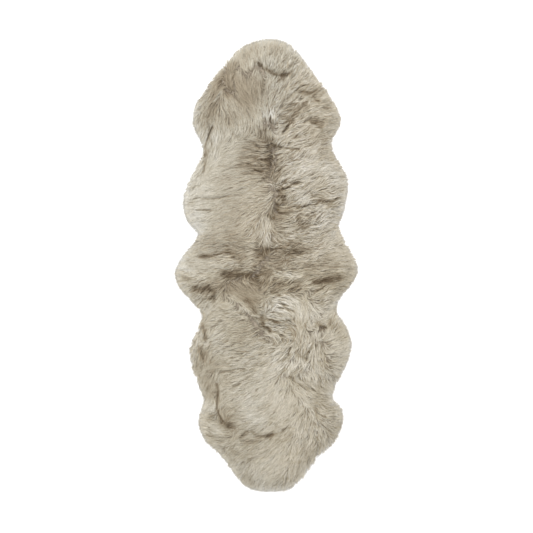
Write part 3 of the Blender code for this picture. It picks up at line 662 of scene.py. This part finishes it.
# Painted shade of all the creases, taken off the tone of the strands
CREASE_SHADE = 1 - (1 - CREASES) * (1 - np.clip(PAINTED_SMALL_CREASES, 0, 1))
WANDER = 0.0018 * np.stack([clouds(chance, 0.005), clouds(chance, 0.005)], axis=-1)


# Strands of wool


def lattice(pitch, least_depth, chance):
    """Jittered points all over the wool, further in than this depth."""
    low, high = LOOP.min(axis=0), LOOP.max(axis=0)
    columns = np.arange(low[0], high[0], pitch)
    rows = np.arange(low[1], high[1], pitch * math.sqrt(3) / 2)
    x, y = np.meshgrid(columns, rows)
    x = x + pitch / 2 * (np.arange(len(rows)) % 2)[:, None]
    points = np.stack([x.ravel(), y.ravel()], axis=1)
    points += chance.uniform(-0.5, 0.5, points.shape) * pitch
    return points[read(DEPTH, points) > least_depth]


def gathered(paths, roots, staples, staple_paths, pull):
    """Paths drawn together towards their staple's path, more and more towards their tips."""
    s = np.linspace(0, 1, PATH_STEPS + 1)[None, :, None]
    target = staple_paths + 0.30 * (roots - staples)[:, None, :]
    share = pull[:, None, None] * s * s * (3 - 2 * s)
    return paths + share * (target - paths)


def crimped(paths, size, wavelength, phase, lengths):
    """Paths with a wave from side to side."""
    s = np.linspace(0, 1, PATH_STEPS + 1)[None, :]
    side = right_hand(np.gradient(paths, axis=1))
    wave = size[:, None] * np.sin(2 * math.pi * s * (lengths / wavelength)[:, None] + phase[:, None])
    return paths + (wave * np.minimum(1, 3 * s))[..., None] * side


def trimmed(paths, reach):
    """Each path up to where it would pass the outline by its reach, as RINGS + 1 points.

    The points stand closer together where the wool turns from light to dark. Also returned: the share of the
    path that is left, and how far along that share each point is.
    """
    over = read(DEPTH, paths) + reach[:, None]
    past = np.argmax(over < 0, axis=1)
    rows = np.arange(len(paths))
    crosses = (over < 0).any(axis=1) & (past > 0)
    before, after = over[rows, past - 1], over[rows, past]
    part = before / np.maximum(before - after, 1e-9)
    end = np.where(crosses, past - 1 + part, PATH_STEPS)
    fine = end[:, None] * np.linspace(0, 1, FINE_STEPS + 1)[None, :]
    change = np.abs(np.diff(read(CREASE_SHADE, between(paths, fine)), axis=1))
    passed = np.cumsum(1 / FINE_STEPS + CROWDING * change, axis=1)
    passed = np.concatenate([np.zeros((len(paths), 1)), passed / passed[:, -1:]], axis=1)
    steps = np.linspace(0, 1, FINE_STEPS + 1)
    along = np.stack([np.interp(np.linspace(0, 1, RINGS + 1), row, steps) for row in passed])
    return between(paths, end[:, None] * along), end / PATH_STEPS, along


def between(paths, places):
    """Points of the paths at places counted in steps from their roots."""
    low = np.minimum(places.astype(int), PATH_STEPS - 1)
    part = (places - low)[..., None]
    rows = np.arange(len(paths))[:, None]
    return paths[rows, low] * (1 - part) + paths[rows, low + 1] * part


def ribbon_frames(points):
    """Unit vectors along, across and out of each point of the strands."""
    along = unit(np.gradient(points, axis=1))
    up = np.array((0.0, 0.0, 1.0))
    across = unit(np.cross(along, up))
    return across, unit(np.cross(across, along))


def ribbons(points, s, widths, tones, edge_shade, roll, ridged, flip, span):
    """Corners, triangles and UVs of tapered ribbons. Ridged ones have a raised middle row of corners."""
    count, rings = points.shape[0], points.shape[1] - 1
    across, out = ribbon_frames(points)
    cos, sin = np.cos(roll)[:, None, None], np.sin(roll)[:, None, None]
    across, out = cos * across + sin * out, flip * (cos * out - sin * across)
    taper = np.clip(0.62 + 1.5 * s, 0, 1) * (1 - s**2.6)
    half = (widths[:, None] * taper / 2)[:, :-1, None]
    body = points[:, :-1]
    columns = [body - half * across[:, :-1], body + half * across[:, :-1]]
    offsets = [-1, 1]
    if ridged:
        columns.insert(1, body + 0.75 * half * out[:, :-1])
        offsets.insert(1, 0)
    wide = len(columns)
    corners = np.stack(columns, axis=2).reshape(count, rings * wide, 3)
    corners = np.concatenate([corners, points[:, -1:]], axis=1)
    edge_shade = edge_shade[:, None]
    # The edges of each strand are painted darker than its middle, as shade between neighbouring strands
    shade = np.stack([tones[:, :-1] - edge_shade * abs(o) * (1 if o < 0 else 0.6) for o in offsets], axis=2)
    shade = np.concatenate([shade.reshape(count, -1), tones[:, -1:]], axis=1)
    place = np.concatenate([np.repeat(s[:, :-1], wide, axis=1), s[:, -1:]], axis=1)
    place = span[0] + (span[1] - span[0]) * place
    faces = []
    for ring in range(rings - 1):
        for k in range(wide - 1):
            a, b = ring * wide + k, ring * wide + k + 1
            c, d = a + wide, b + wide
            faces += [(a, b, d), (a, d, c)]
    last = (rings - 1) * wide
    faces += [(last + k, last + k + 1, rings * wide) for k in range(wide - 1)]
    faces = np.array(faces) if flip > 0 else np.array(faces)[:, ::-1]
    corners[..., 2] = np.maximum(corners[..., 2], FLOOR_GAP)
    size = corners.shape[1]
    triangles = (faces[None] + (np.arange(count) * size)[:, None, None]).reshape(-1, 3)
    uv = np.stack([place, np.clip(shade, 0.01, 0.99)], axis=-1)
    return corners.reshape(-1, 3), triangles, uv.reshape(-1, 2)


def mesh_object(name, corners, triangles, uv, material):
    """A smooth object, with the same UVs for its finish and for the bake."""
    mesh = bpy.data.meshes.new(name)
    mesh.vertices.add(len(corners))
    mesh.vertices.foreach_set("co", corners.astype(np.float32).ravel())
    mesh.loops.add(triangles.size)
    mesh.loops.foreach_set("vertex_index", triangles.astype(np.int32).ravel())
    mesh.polygons.add(len(triangles))
    mesh.polygons.foreach_set("loop_start", np.arange(0, triangles.size, 3, dtype=np.int32))
    mesh.polygons.foreach_set("use_smooth", np.ones(len(triangles), bool))
    for layer in ("strand", "OFBake"):
        made = mesh.uv_layers.new(name=layer)
        made.data.foreach_set("uv", uv[triangles.ravel()].astype(np.float32).ravel())
    mesh.update(calc_edges=True)
    made = bpy.data.objects.new(name, mesh)
    bpy.context.scene.collection.objects.link(made)
    mesh.materials.append(material)
    return made


def wool_tone(points, strand, chance):
    """Tone of each point of the strands from 0, darkest, to 1, with the painted shade of the creases taken
    off.
    """
    places = points[..., :2]
    stray = places + read(WANDER, places) + chance.normal(0, 0.0007, (len(points), 1, 2))
    dark = read(CREASE_SHADE, stray)
    # shadow: the painted shade of the creases, deeper where they are darker
    shadow = chance.uniform(0.40, 1.00, len(points))[:, None] * dark * (0.38 + 0.42 * dark**2)
    return MIDDLE_TONE + read(BRIGHT, places) - shadow + strand[:, None]


def lifted(paths, offset, bow, rise, along):
    """Paths in space: over the wool's surface, bowed up between their roots and tips."""
    ground = read(HEIGHT, paths) - read(DIP, paths)
    calm = np.clip(read(DEPTH, paths) / 0.030, 0.12, 1)
    bowed = bow[:, None] * 4 * along * (1 - along) + rise[:, None] * along - 0.004 * (1 - along) ** 4
    z = np.clip(ground + calm * (offset[:, None] + bowed), LEAST_HEIGHT, TOP)
    return np.concatenate([paths, z[..., None]], axis=2)


def staples():
    """The bundles that the strands gather into."""
    chance = np.random.default_rng(SEED + 1)
    places = lattice(STAPLE_PITCH, 0.006, chance)
    count = len(places)
    lengths = chance.uniform(0.040, 0.056, count)
    paths = grown(places, lengths, np.radians(chance.normal(0, 9, count)))
    return {
        "places": places, "paths": paths, "pull": chance.uniform(0.25, 0.75, count),
        "phase": chance.uniform(0, 2 * math.pi, count), "wavelength": chance.uniform(0.017, 0.030, count),
        "crimp": chance.uniform(0.0003, 0.0014, count), "tone": chance.normal(0, 0.016, count),
        "lift": chance.normal(0, 0.0008, count),
    }


def coat(roots, staple, chance, kind):
    """Strands of one kind grown from these roots, as points in space with their tones and widths."""
    count = len(roots)
    found = nearest(roots, staple["places"])
    ruffle = read(RUFFLED, roots)
    lengths = chance.uniform(*kind["length"], count) * (1.2 - 0.2 * ruffle)
    turns = np.radians(chance.normal(0, kind["turn"], count)) * np.sqrt(ruffle)
    paths = grown(roots, lengths, turns)
    pull = np.minimum(kind["pull"] * staple["pull"][found] * (0.60 + 0.35 * ruffle), 0.95)
    paths = gathered(paths, roots, staple["places"][found], staple["paths"][found], pull)
    size = staple["crimp"][found] + chance.uniform(0, kind["crimp"], count)
    phase = staple["phase"][found] + chance.normal(0, 0.5, count)
    paths = crimped(paths, size, staple["wavelength"][found], phase, lengths)
    reach = np.clip(chance.normal(kind["reach"], 0.0044, count) + read(FURTHER, roots), -0.012, 0.0160)
    flat, end, s = trimmed(paths, reach)
    off = np.linalg.norm(roots - staple["places"][found], axis=1) / STAPLE_PITCH
    middle = np.mean(kind["offset"])
    offset = middle + np.clip(ruffle, 0.35, 1) * (chance.uniform(*kind["offset"], count) - middle)
    offset += ruffle * (staple["lift"][found] + 0.002 * (0.25 - off**2))
    bow = ruffle * chance.uniform(*kind["bow"], count)
    rise = ruffle * chance.uniform(*kind["rise"], count)
    points = lifted(flat, offset, bow, rise, s * end[:, None])
    # The strand's own random tone, and painted shade on the strands at the edge of a staple
    own_and_clump_shade = kind["tone"] * (0.65 - np.minimum(chance.exponential(1, count), 3.2)) + 0.12 * (0.12 - off**2)
    # Strands that lie lower are painted darker, as shade
    shade = ruffle * staple["tone"][found] + np.maximum(ruffle, 0.55) * own_and_clump_shade + 8 * (offset - middle)
    return points, s, wool_tone(points, shade, chance), chance.uniform(*kind["width"], count)


LOCK = {
    "length": (0.034, 0.054), "turn": 9, "pull": 1.0, "crimp": 0.0006, "reach": 0.0030,
    "offset": (-0.0025, 0.0030), "bow": (0.000, 0.0035), "rise": (-0.002, 0.0015), "tone": 0.027,
    "width": (0.0025, 0.0043),
}
HAIR = {
    "length": (0.026, 0.046), "turn": 15, "pull": 0.6, "crimp": 0.0008, "reach": 0.0052,
    "offset": (0.000, 0.0045), "bow": (0.000, 0.0034), "rise": (-0.001, 0.0024), "tone": 0.100,
    "width": (0.0013, 0.0026),
}
FUZZ = dict(HAIR, length=(0.020, 0.036), turn=22, reach=0.0088, width=(0.0008, 0.0016), pull=0.4)


# Finishes


def node(tree, kind, **inputs):
    """A new shader node with these values."""
    made = tree.nodes.new(kind)
    for name, value in inputs.items():
        made.inputs[name].default_value = value
    return made


def finish(name, roughness, specular, sheen=0.0):
    """A new material with its shader and tree."""
    made = bpy.data.materials.new(name)
    made.use_nodes = True
    tree = made.node_tree
    shader = tree.nodes["Principled BSDF"]
    shader.inputs["Roughness"].default_value = roughness
    shader.inputs["Specular IOR Level"].default_value = specular
    shader.inputs["Sheen Weight"].default_value = sheen
    shader.inputs["Sheen Roughness"].default_value = 0.5
    return made, tree, shader


def ramp(tree, value, stops):
    """Colours by a value, with each stop as its place and colour."""
    made = tree.nodes.new("ShaderNodeValToRGB")
    tree.links.new(value, made.inputs["Fac"])
    elements = made.color_ramp.elements
    while len(elements) < len(stops):
        elements.new(0.5)
    for element, (place, colour) in zip(elements, stops):
        element.position = place
        element.color = (*colour, 1)
    return made.outputs["Color"]


def maths(tree, operation, *values):
    made = tree.nodes.new("ShaderNodeMath")
    made.operation = operation
    for socket, value in zip(made.inputs, values):
        if isinstance(value, (int, float)):
            socket.default_value = value
        else:
            tree.links.new(value, socket)
    return made.outputs[0]


def mixed(tree, blend, share, first, second):
    made = tree.nodes.new("ShaderNodeMix")
    made.data_type = "RGBA"
    made.blend_type = blend
    for socket, value in ((made.inputs[0], share), (made.inputs[6], first), (made.inputs[7], second)):
        if isinstance(value, (int, float, tuple)):
            socket.default_value = value
        else:
            tree.links.new(value, socket)
    return made.outputs[2]


# Colours of the wool from its darkest tone to its lightest
WOOL_TONES = (
    (0.00, (0.144, 0.104, 0.064)), (0.25, (0.326, 0.270, 0.190)), (0.50, (0.519, 0.471, 0.378)),
    (0.75, (0.694, 0.667, 0.606)), (1.00, (0.840, 0.832, 0.800)),
)
# What they are multiplied by from the root of a strand to its tip, and last on the strands of the rim.
# The dark root end is painted shade, where the strands cover each other
ALONG_STRAND = (
    (0.0, (0.42, 0.38, 0.33)), (0.19, (0.80, 0.78, 0.75)), (0.43, (1, 1, 1)), (0.86, (1, 1, 1)),
    (0.93, (0.95, 0.985, 1.08)),
)
WOOL_TINTS = {
    ("upper", "left"): (0.976, 1.002, 1.036), ("upper", "right"): (1.006, 1.000, 0.986),
    ("lower", "left"): (0.992, 0.997, 0.987), ("lower", "right"): (1.006, 0.997, 0.965),
}


def wool_finish(name, tint):
    """Wool strands: U runs from root to tip, V is the tone, and lines of fibres run along the strand."""
    made, tree, shader = finish(name, 0.72, 0.18, 0.15)
    uv = tree.nodes.new("ShaderNodeUVMap")
    uv.uv_map = "strand"
    split = tree.nodes.new("ShaderNodeSeparateXYZ")
    tree.links.new(uv.outputs["UV"], split.inputs[0])
    along, tone = split.outputs["X"], split.outputs["Y"]
    colour = ramp(tree, tone, WOOL_TONES)
    shade = ramp(tree, along, ALONG_STRAND)
    colour = mixed(tree, "MULTIPLY", 1.0, colour, shade)
    colour = mixed(tree, "MULTIPLY", 1.0, colour, ramp(tree, tone, ((0.0, tint), (1.0, tint))))
    stretched = tree.nodes.new("ShaderNodeCombineXYZ")
    tree.links.new(maths(tree, "MULTIPLY", along, 3.0), stretched.inputs[0])
    tree.links.new(maths(tree, "MULTIPLY", tone, 110.0), stretched.inputs[1])
    fibres = node(tree, "ShaderNodeTexNoise", Scale=1.0, Detail=2.0, Roughness=0.6)
    tree.links.new(stretched.outputs[0], fibres.inputs["Vector"])
    lines = ramp(tree, fibres.outputs["Fac"], ((0.30, (0.80, 0.79, 0.77)), (0.70, (1.12, 1.12, 1.12))))
    tree.links.new(mixed(tree, "MULTIPLY", 1.0, colour, lines), shader.inputs["Base Color"])
    return made


def under_wool_finish():
    """The deep wool that shows between the strands and at the underside, painted dark as the shade deep
    between the strands.
    """
    made, tree, shader = finish("shaded_deep_wool", 0.85, 0.1, 0.1)
    where = tree.nodes.new("ShaderNodeTexCoord").outputs["Object"]
    patches = node(tree, "ShaderNodeTexNoise", Scale=60.0, Detail=4.0)
    tree.links.new(where, patches.inputs["Vector"])
    colour = ramp(tree, patches.outputs["Fac"], ((0.35, (0.21, 0.175, 0.135)), (0.65, (0.36, 0.31, 0.245))))
    tree.links.new(colour, shader.inputs["Base Color"])
    curls = node(tree, "ShaderNodeTexNoise", Scale=320.0, Detail=3.0, Distortion=1.2)
    tree.links.new(where, curls.inputs["Vector"])
    bump = node(tree, "ShaderNodeBump", Strength=0.6, Distance=0.001)
    tree.links.new(curls.outputs["Fac"], bump.inputs["Height"])
    tree.links.new(bump.outputs["Normal"], shader.inputs["Normal"])
    return made


def suede_finish():
    """The tanned flesh side of a skin: cream suede with a nap, pores and uneven patches."""
    made, tree, shader = finish("suede", 0.88, 0.15, 0.2)
    where = tree.nodes.new("ShaderNodeTexCoord").outputs["Object"]
    patches = node(tree, "ShaderNodeTexNoise", Scale=9.0, Detail=5.0, Distortion=0.6)
    nap = node(tree, "ShaderNodeTexNoise", Scale=420.0, Detail=3.0)
    pores = node(tree, "ShaderNodeTexVoronoi", Scale=260.0)
    for texture in (patches, nap, pores):
        tree.links.new(where, texture.inputs["Vector"])
    colour = ramp(
        tree, patches.outputs["Fac"],
        ((0.30, (0.560, 0.460, 0.330)), (0.50, (0.640, 0.545, 0.410)), (0.70, (0.700, 0.620, 0.490))),
    )
    brushed = ramp(tree, nap.outputs["Fac"], ((0.30, (0.86, 0.85, 0.83)), (0.70, (1.06, 1.06, 1.06))))
    colour = mixed(tree, "MULTIPLY", 1.0, colour, brushed)
    tree.links.new(colour, shader.inputs["Base Color"])
    pits = maths(tree, "MINIMUM", maths(tree, "MULTIPLY", pores.outputs["Distance"], 3.0), 1.0)
    raised = maths(tree, "MULTIPLY", nap.outputs["Fac"], 0.7)
    height = maths(tree, "ADD", raised, maths(tree, "MULTIPLY", pits, 0.3))
    bump = node(tree, "ShaderNodeBump", Strength=0.5, Distance=0.0006)
    tree.links.new(height, bump.inputs["Height"])
    tree.links.new(bump.outputs["Normal"], shader.inputs["Normal"])
    return made


def thread_finish():
    """Waxed thread, twisted from two plies; the grooves between them are painted as dark bands of shade."""
    made, tree, shader = finish("thread", 0.55, 0.3)
    uv = tree.nodes.new("ShaderNodeUVMap")
    uv.uv_map = "strand"
    twist = node(tree, "ShaderNodeTexWave", Scale=3.0)
    twist.bands_direction = "DIAGONAL"
    tree.links.new(uv.outputs["UV"], twist.inputs["Vector"])
    colour = ramp(tree, twist.outputs["Fac"], ((0.1, (0.42, 0.35, 0.25)), (0.6, (0.66, 0.58, 0.45))))
    tree.links.new(colour, shader.inputs["Base Color"])
    return made


# Pieces


def settle(piece, node_name=None):
    """A piece rides the rug, and may stand for a solid, which is then hidden."""
    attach(piece, "root")
    if node_name:
        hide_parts(node_name)


def shaded_object(name, solid, material):
    """An object with the form of a bmesh, smooth all over."""
    mesh = bpy.data.meshes.new(name)
    solid.to_mesh(mesh)
    solid.free()
    mesh.shade_smooth()
    mesh.materials.append(material)
    made = bpy.data.objects.new(name, mesh)
    bpy.context.scene.collection.objects.link(made)
    return made


def under_wool(word, material):
    """The body of the wool under the strands: the solid's own form, finer and sunk a little."""
    solid = bmesh.new()
    solid.from_mesh(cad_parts["wool_" + word].data)
    bmesh.ops.remove_doubles(solid, verts=solid.verts[:], dist=GAP / 6)
    upward = [face for face in solid.faces if face.normal.z > 0.3]
    edges = {edge for face in upward for edge in face.edges}
    bmesh.ops.subdivide_edges(solid, edges=list(edges), cuts=1, use_grid_fill=True)
    bmesh.ops.triangulate(solid, faces=solid.faces[:])
    places = np.array([(corner.co.x, corner.co.y) for corner in solid.verts])
    level, drop, depth = read(HEIGHT, places), read(DIP, places), read(DEPTH, places)
    for corner, height, dip, inner in zip(solid.verts, level, drop, depth):
        if corner.co.z > 0.004 and inner > WOOL_INSET + 0.002:
            corner.co.z = max(height - dip - SUNK, DEEP_LEAST)
        elif corner.co.z > 0.004:
            corner.co.z = 0.4 * corner.co.z + DEEP_BOTTOM
        elif corner.co.z < 0.001:
            corner.co.z = DEEP_BOTTOM
    settle(shaded_object("under_wool_" + word, solid, material), "wool_" + word)


def strand_pieces(name, parts, finishes):
    """Strand meshes, two for each skin: its left half and its right half, with a frayed cut between them."""
    for word, side in SIDES.items():
        chosen = [
            [values[side * (strands[0][:, 0, 1] - SEAM_Y) > 0] for values in strands] + [style]
            for strands, style in parts
        ]
        across = [points[:, 0, 0] - SLANT[word] * abs(points[:, 0, 1] - SEAM_Y) for points, *_ in chosen]
        middle = np.quantile(np.concatenate(across), 0.5)
        frayed = [
            place + np.random.default_rng(SEED + 5).normal(0, CUT_SPREAD, len(place)) - middle
            for place in across
        ]
        for i, half in enumerate(("left", "right")):
            corners, triangles, uv, size = [], [], [], 0
            for (points, s, tones, widths, style), place in zip(chosen, frayed):
                taken = (place > 0) == (half == "right")
                calm = np.clip(read(RUFFLED, points[taken, 0, :2]), 0.35, 1)
                roll = style["roll"] * calm * np.random.default_rng(SEED + i).standard_normal(taken.sum())
                made = ribbons(
                    points[taken], s[taken], widths[taken], tones[taken], style["edge"] * calm, roll,
                    style["ridged"], style["flip"], style["span"],
                )
                corners.append(made[0])
                triangles.append(made[1] + size)
                uv.append(made[2])
                size += len(made[0])
            piece = mesh_object(
                f"{name}_{word}_{i + 1}", np.concatenate(corners), np.concatenate(triangles),
                np.concatenate(uv), finishes[word, half],
            )
            settle(piece, "wool_" + word)


def rim_strands(staple, chance, depths, count, share, kind):
    """Strands that root just inside the rim, at any height, and hang out over it to the floor."""
    ends = chance.integers(0, len(LOOP), count)
    inner = chance.uniform(*depths, count)
    roots = LOOP[ends] + LOOP_INWARD[ends] * inner[:, None]
    points, s, tones, widths = coat(roots, staple, chance, kind)
    height_share = chance.uniform(*share, count)[:, None]
    points[..., 2] *= height_share + (1 - height_share) * 0.1 * s
    points[..., 2] = np.maximum(points[..., 2], LEAST_HEIGHT)
    return points, s, tones, widths


def build_wool():
    """The strands over the wool, on its flanks and under its rim, and the deep wool below them."""
    staple = staples()
    chance = np.random.default_rng(SEED + 2)
    lock_roots = lattice(LOCK_PITCH, 0.012, chance)
    hair_roots = lattice(HAIR_PITCH, 0.010, chance)
    locks = coat(lock_roots, staple, chance, LOCK)
    hairs = coat(hair_roots, staple, chance, HAIR)
    side_kind, low_kind = dict(LOCK, reach=0.0012), dict(LOCK, reach=-0.001, pull=0.5)
    side_locks = rim_strands(staple, chance, (0.014, 0.034), SIDE_LOCKS, (0.15, 1.0), side_kind)
    side_hairs = rim_strands(staple, chance, (0.008, 0.028), SIDE_HAIRS, (0.10, 1.1), FUZZ)
    low_locks = rim_strands(staple, chance, (0.031, 0.036), LOW_LOCKS, (0.02, 0.06), low_kind)
    highest = chance.uniform(LEAST_HEIGHT, 0.0026, (LOW_LOCKS, 1))
    low_locks[0][..., 2] = np.minimum(low_locks[0][..., 2], highest)
    # edge: how much darker the edges of a strand are painted, as shade between strands
    ridged = {"edge": 0.05, "roll": 0.30, "ridged": True, "flip": 1, "span": (0, 0.85)}
    below = dict(ridged, roll=0.15, flip=-1, span=(0.12, 0.85))
    flat = dict(ridged, edge=0.02, roll=0.5, ridged=False)
    wool = {half: wool_finish("combed_wool_" + "_".join(half), tint) for half, tint in WOOL_TINTS.items()}
    deep = under_wool_finish()
    for word in SIDES:
        under_wool(word, deep)
    lock_parts = [(locks, ridged), (side_locks, dict(ridged, span=(0.88, 1))), (low_locks, below)]
    strand_pieces("wool_locks", lock_parts, wool)
    strand_pieces("wool_hairs", [(hairs, flat), (side_hairs, dict(flat, span=(0.92, 1)))], wool)


def skin_end(side):
    """Y of one skin's edge at the seam."""
    return SEAM_Y + side * GAP / 2


def hide_loop(side):
    """The cut edge of one hide up to the seam: the wool's outer edge, drawn in by the inset."""
    loop = LOOP + HIDE_INSET * LOOP_INWARD
    level = skin_end(side)
    inside = side * (loop[:, 1] - level) > 0
    first = np.flatnonzero(inside & ~np.roll(inside, 1))[0]
    run = np.roll(loop, -first, axis=0)[: inside.sum()]
    run[[0, -1], 1] = level
    return run[::2]


def hide_plan(side):
    """A hide seen from above: its corners, its faces and the edges of its rim."""
    edge = hide_loop(side)
    level = skin_end(side)
    seam = np.stack([np.linspace(edge[-1, 0], edge[0, 0], 66), np.full(66, level)], axis=1)[1:-1]
    rim = np.concatenate([edge, seam])
    across = np.arange(-0.36, 0.36, 0.008)
    rows = [level + side * off for off in (0.0035, 0.0050, 0.0060)]
    groove = [np.stack([across, np.full(len(across), row)], axis=1) for row in rows]
    x, y = np.meshgrid(np.arange(-0.36, 0.36, HIDE_PITCH), np.arange(-0.9, 0.9, HIDE_PITCH))
    staggered = x.ravel() + HIDE_PITCH / 2 * (np.round(y.ravel() / HIDE_PITCH) % 2)
    points = np.stack([staggered, y.ravel()], axis=1)
    points = np.concatenate([*groove, points[side * (points[:, 1] - level) > 0.010]])
    points = points[read(DEPTH, points) > HIDE_INSET + 0.004]
    flat = [Vector(point) for point in np.concatenate([rim, points])]
    edges = [(i, (i + 1) % len(rim)) for i in range(len(rim))]
    spread = delaunay_2d_cdt(flat, edges, [], 1, GAP / 10)
    return np.array(spread[0]), spread[2], edges


def build_hides(material):
    """Two thin skins with soft waves on the underside, pared along the seam."""
    ripples = clouds(np.random.default_rng(SEED + 3), 0.012)
    for word, side in SIDES.items():
        places, faces, edges = hide_plan(side)
        to_seam = np.abs(places[:, 1] - skin_end(side))
        pared = PARED * np.clip((0.0058 - to_seam) / 0.0008, 0, 1)
        waves = 0.00018 * (1 + np.clip(read(ripples, places), -1, 1)) * np.clip(to_seam / 0.02, 0, 1)
        solid = bmesh.new()
        bottom = [solid.verts.new((*place, z)) for place, z in zip(places, waves + pared)]
        upper = [solid.verts.new((*place, HIDE_THICKNESS)) for place in places]
        for face in faces:
            solid.faces.new([bottom[i] for i in face[::-1]])
            solid.faces.new([upper[i] for i in face])
        for a, b in edges:
            solid.faces.new((bottom[a], bottom[b], upper[b], upper[a]))
        bmesh.ops.recalc_face_normals(solid, faces=solid.faces[:])
        made = shaded_object("suede_" + word, solid, material)
        made.data.set_sharp_from_angle(angle=math.radians(50))
        settle(made, "hide_" + word)


def stitch(x, lean, half):
    """Rings of corners along one stitch, which dips into the groove between its two ends."""
    angles = 2 * math.pi * np.arange(THREAD_SIDES + 1) / THREAD_SIDES
    spine = np.stack([x + lean * STITCH[:, 0], SEAM_Y + half * STITCH[:, 0], STITCH[:, 1]], axis=1)
    along = unit(np.gradient(spine, axis=0))
    side = unit(np.cross(along, (0, 0, 1)))
    out = np.cross(side, along)
    return spine[:, None] + THREAD_RADIUS * (
        np.cos(angles)[None, :, None] * side[:, None] + np.sin(angles)[None, :, None] * out[:, None]
    )


def build_seam(material):
    """Overcast stitches that hold the two hides edge to edge, in the pared groove on the underside."""
    reach = np.abs(hide_loop(1)[[0, -1], 0]).min() - 0.004
    chance = np.random.default_rng(SEED + 5)
    wide = THREAD_SIDES + 1
    u, v = np.meshgrid(np.arange(wide) / THREAD_SIDES, np.arange(len(STITCH)) / 4)
    corners, triangles, uv = [], [], []
    for i in range(int(2 * reach / STITCH_PITCH + 0.5)):
        x = -reach + (i + 0.5) * STITCH_PITCH
        lean, half = 0.0011 + chance.normal(0, 0.00015), 0.0030 + chance.normal(0, 0.00015)
        base = i * len(STITCH) * wide
        corners.append(stitch(x, lean, half).reshape(-1, 3))
        uv.append(np.stack([u.ravel(), v.ravel()], axis=1))
        for row in range(len(STITCH) - 1):
            for k in range(THREAD_SIDES):
                a = base + row * wide + k
                triangles += [(a, a + 1, a + wide + 1), (a, a + wide + 1, a + wide)]
    corners, uv = np.concatenate(corners), np.concatenate(uv)
    made = mesh_object("seam_stitches", corners, np.array(triangles), uv, material)
    made.data.uv_layers.remove(made.data.uv_layers["OFBake"])
    settle(made)


build_wool()
build_hides(suede_finish())
build_seam(thread_finish())


# The studio


def build_studio():
    """A white floor in even light, a soft light from the head's left, and a camera straight above."""
    scene = bpy.context.scene
    scene.view_settings.view_transform = "Standard"
    bpy.ops.mesh.primitive_plane_add(size=120, location=(0, 0, -0.001))
    floor = bpy.context.object
    floor.name = "floor"
    floor_finish, _, shader = finish("floor_white", 0.9, 0.0)
    shader.inputs["Base Color"].default_value = (0.90, 0.90, 0.90, 1)
    shader.inputs["Emission Color"].default_value = (1, 1, 1, 1)
    shader.inputs["Emission Strength"].default_value = 0.25
    floor.data.materials.append(floor_finish)

    world = bpy.data.worlds.new("studio")
    scene.world = world
    world.use_nodes = True
    world.node_tree.nodes["Background"].inputs["Color"].default_value = (1, 1, 1, 1)
    world.node_tree.nodes["Background"].inputs["Strength"].default_value = 1.0

    light = bpy.data.lights.new("softbox", "AREA")
    light.shape = "RECTANGLE"
    light.size, light.size_y = 2.2, 1.6
    light.energy = 90
    lamp = bpy.data.objects.new("softbox", light)
    scene.collection.objects.link(lamp)
    lamp.location = (-1.1, 1.9, 3.0)
    lamp.rotation_euler = (-lamp.location).to_track_quat("-Z", "Y").to_euler()

    wide, distance = 2.1226, 5.0  # of the picture at the height of the wool, and from the floor to the camera
    camera = bpy.data.cameras.new("camera")
    camera.sensor_width = 36
    camera.lens = 36 * (distance - 0.03) / wide
    seen = bpy.data.objects.new("camera", camera)
    scene.collection.objects.link(seen)
    seen.location = (0.0004, -0.0040, distance)
    scene.camera = seen


build_studio()
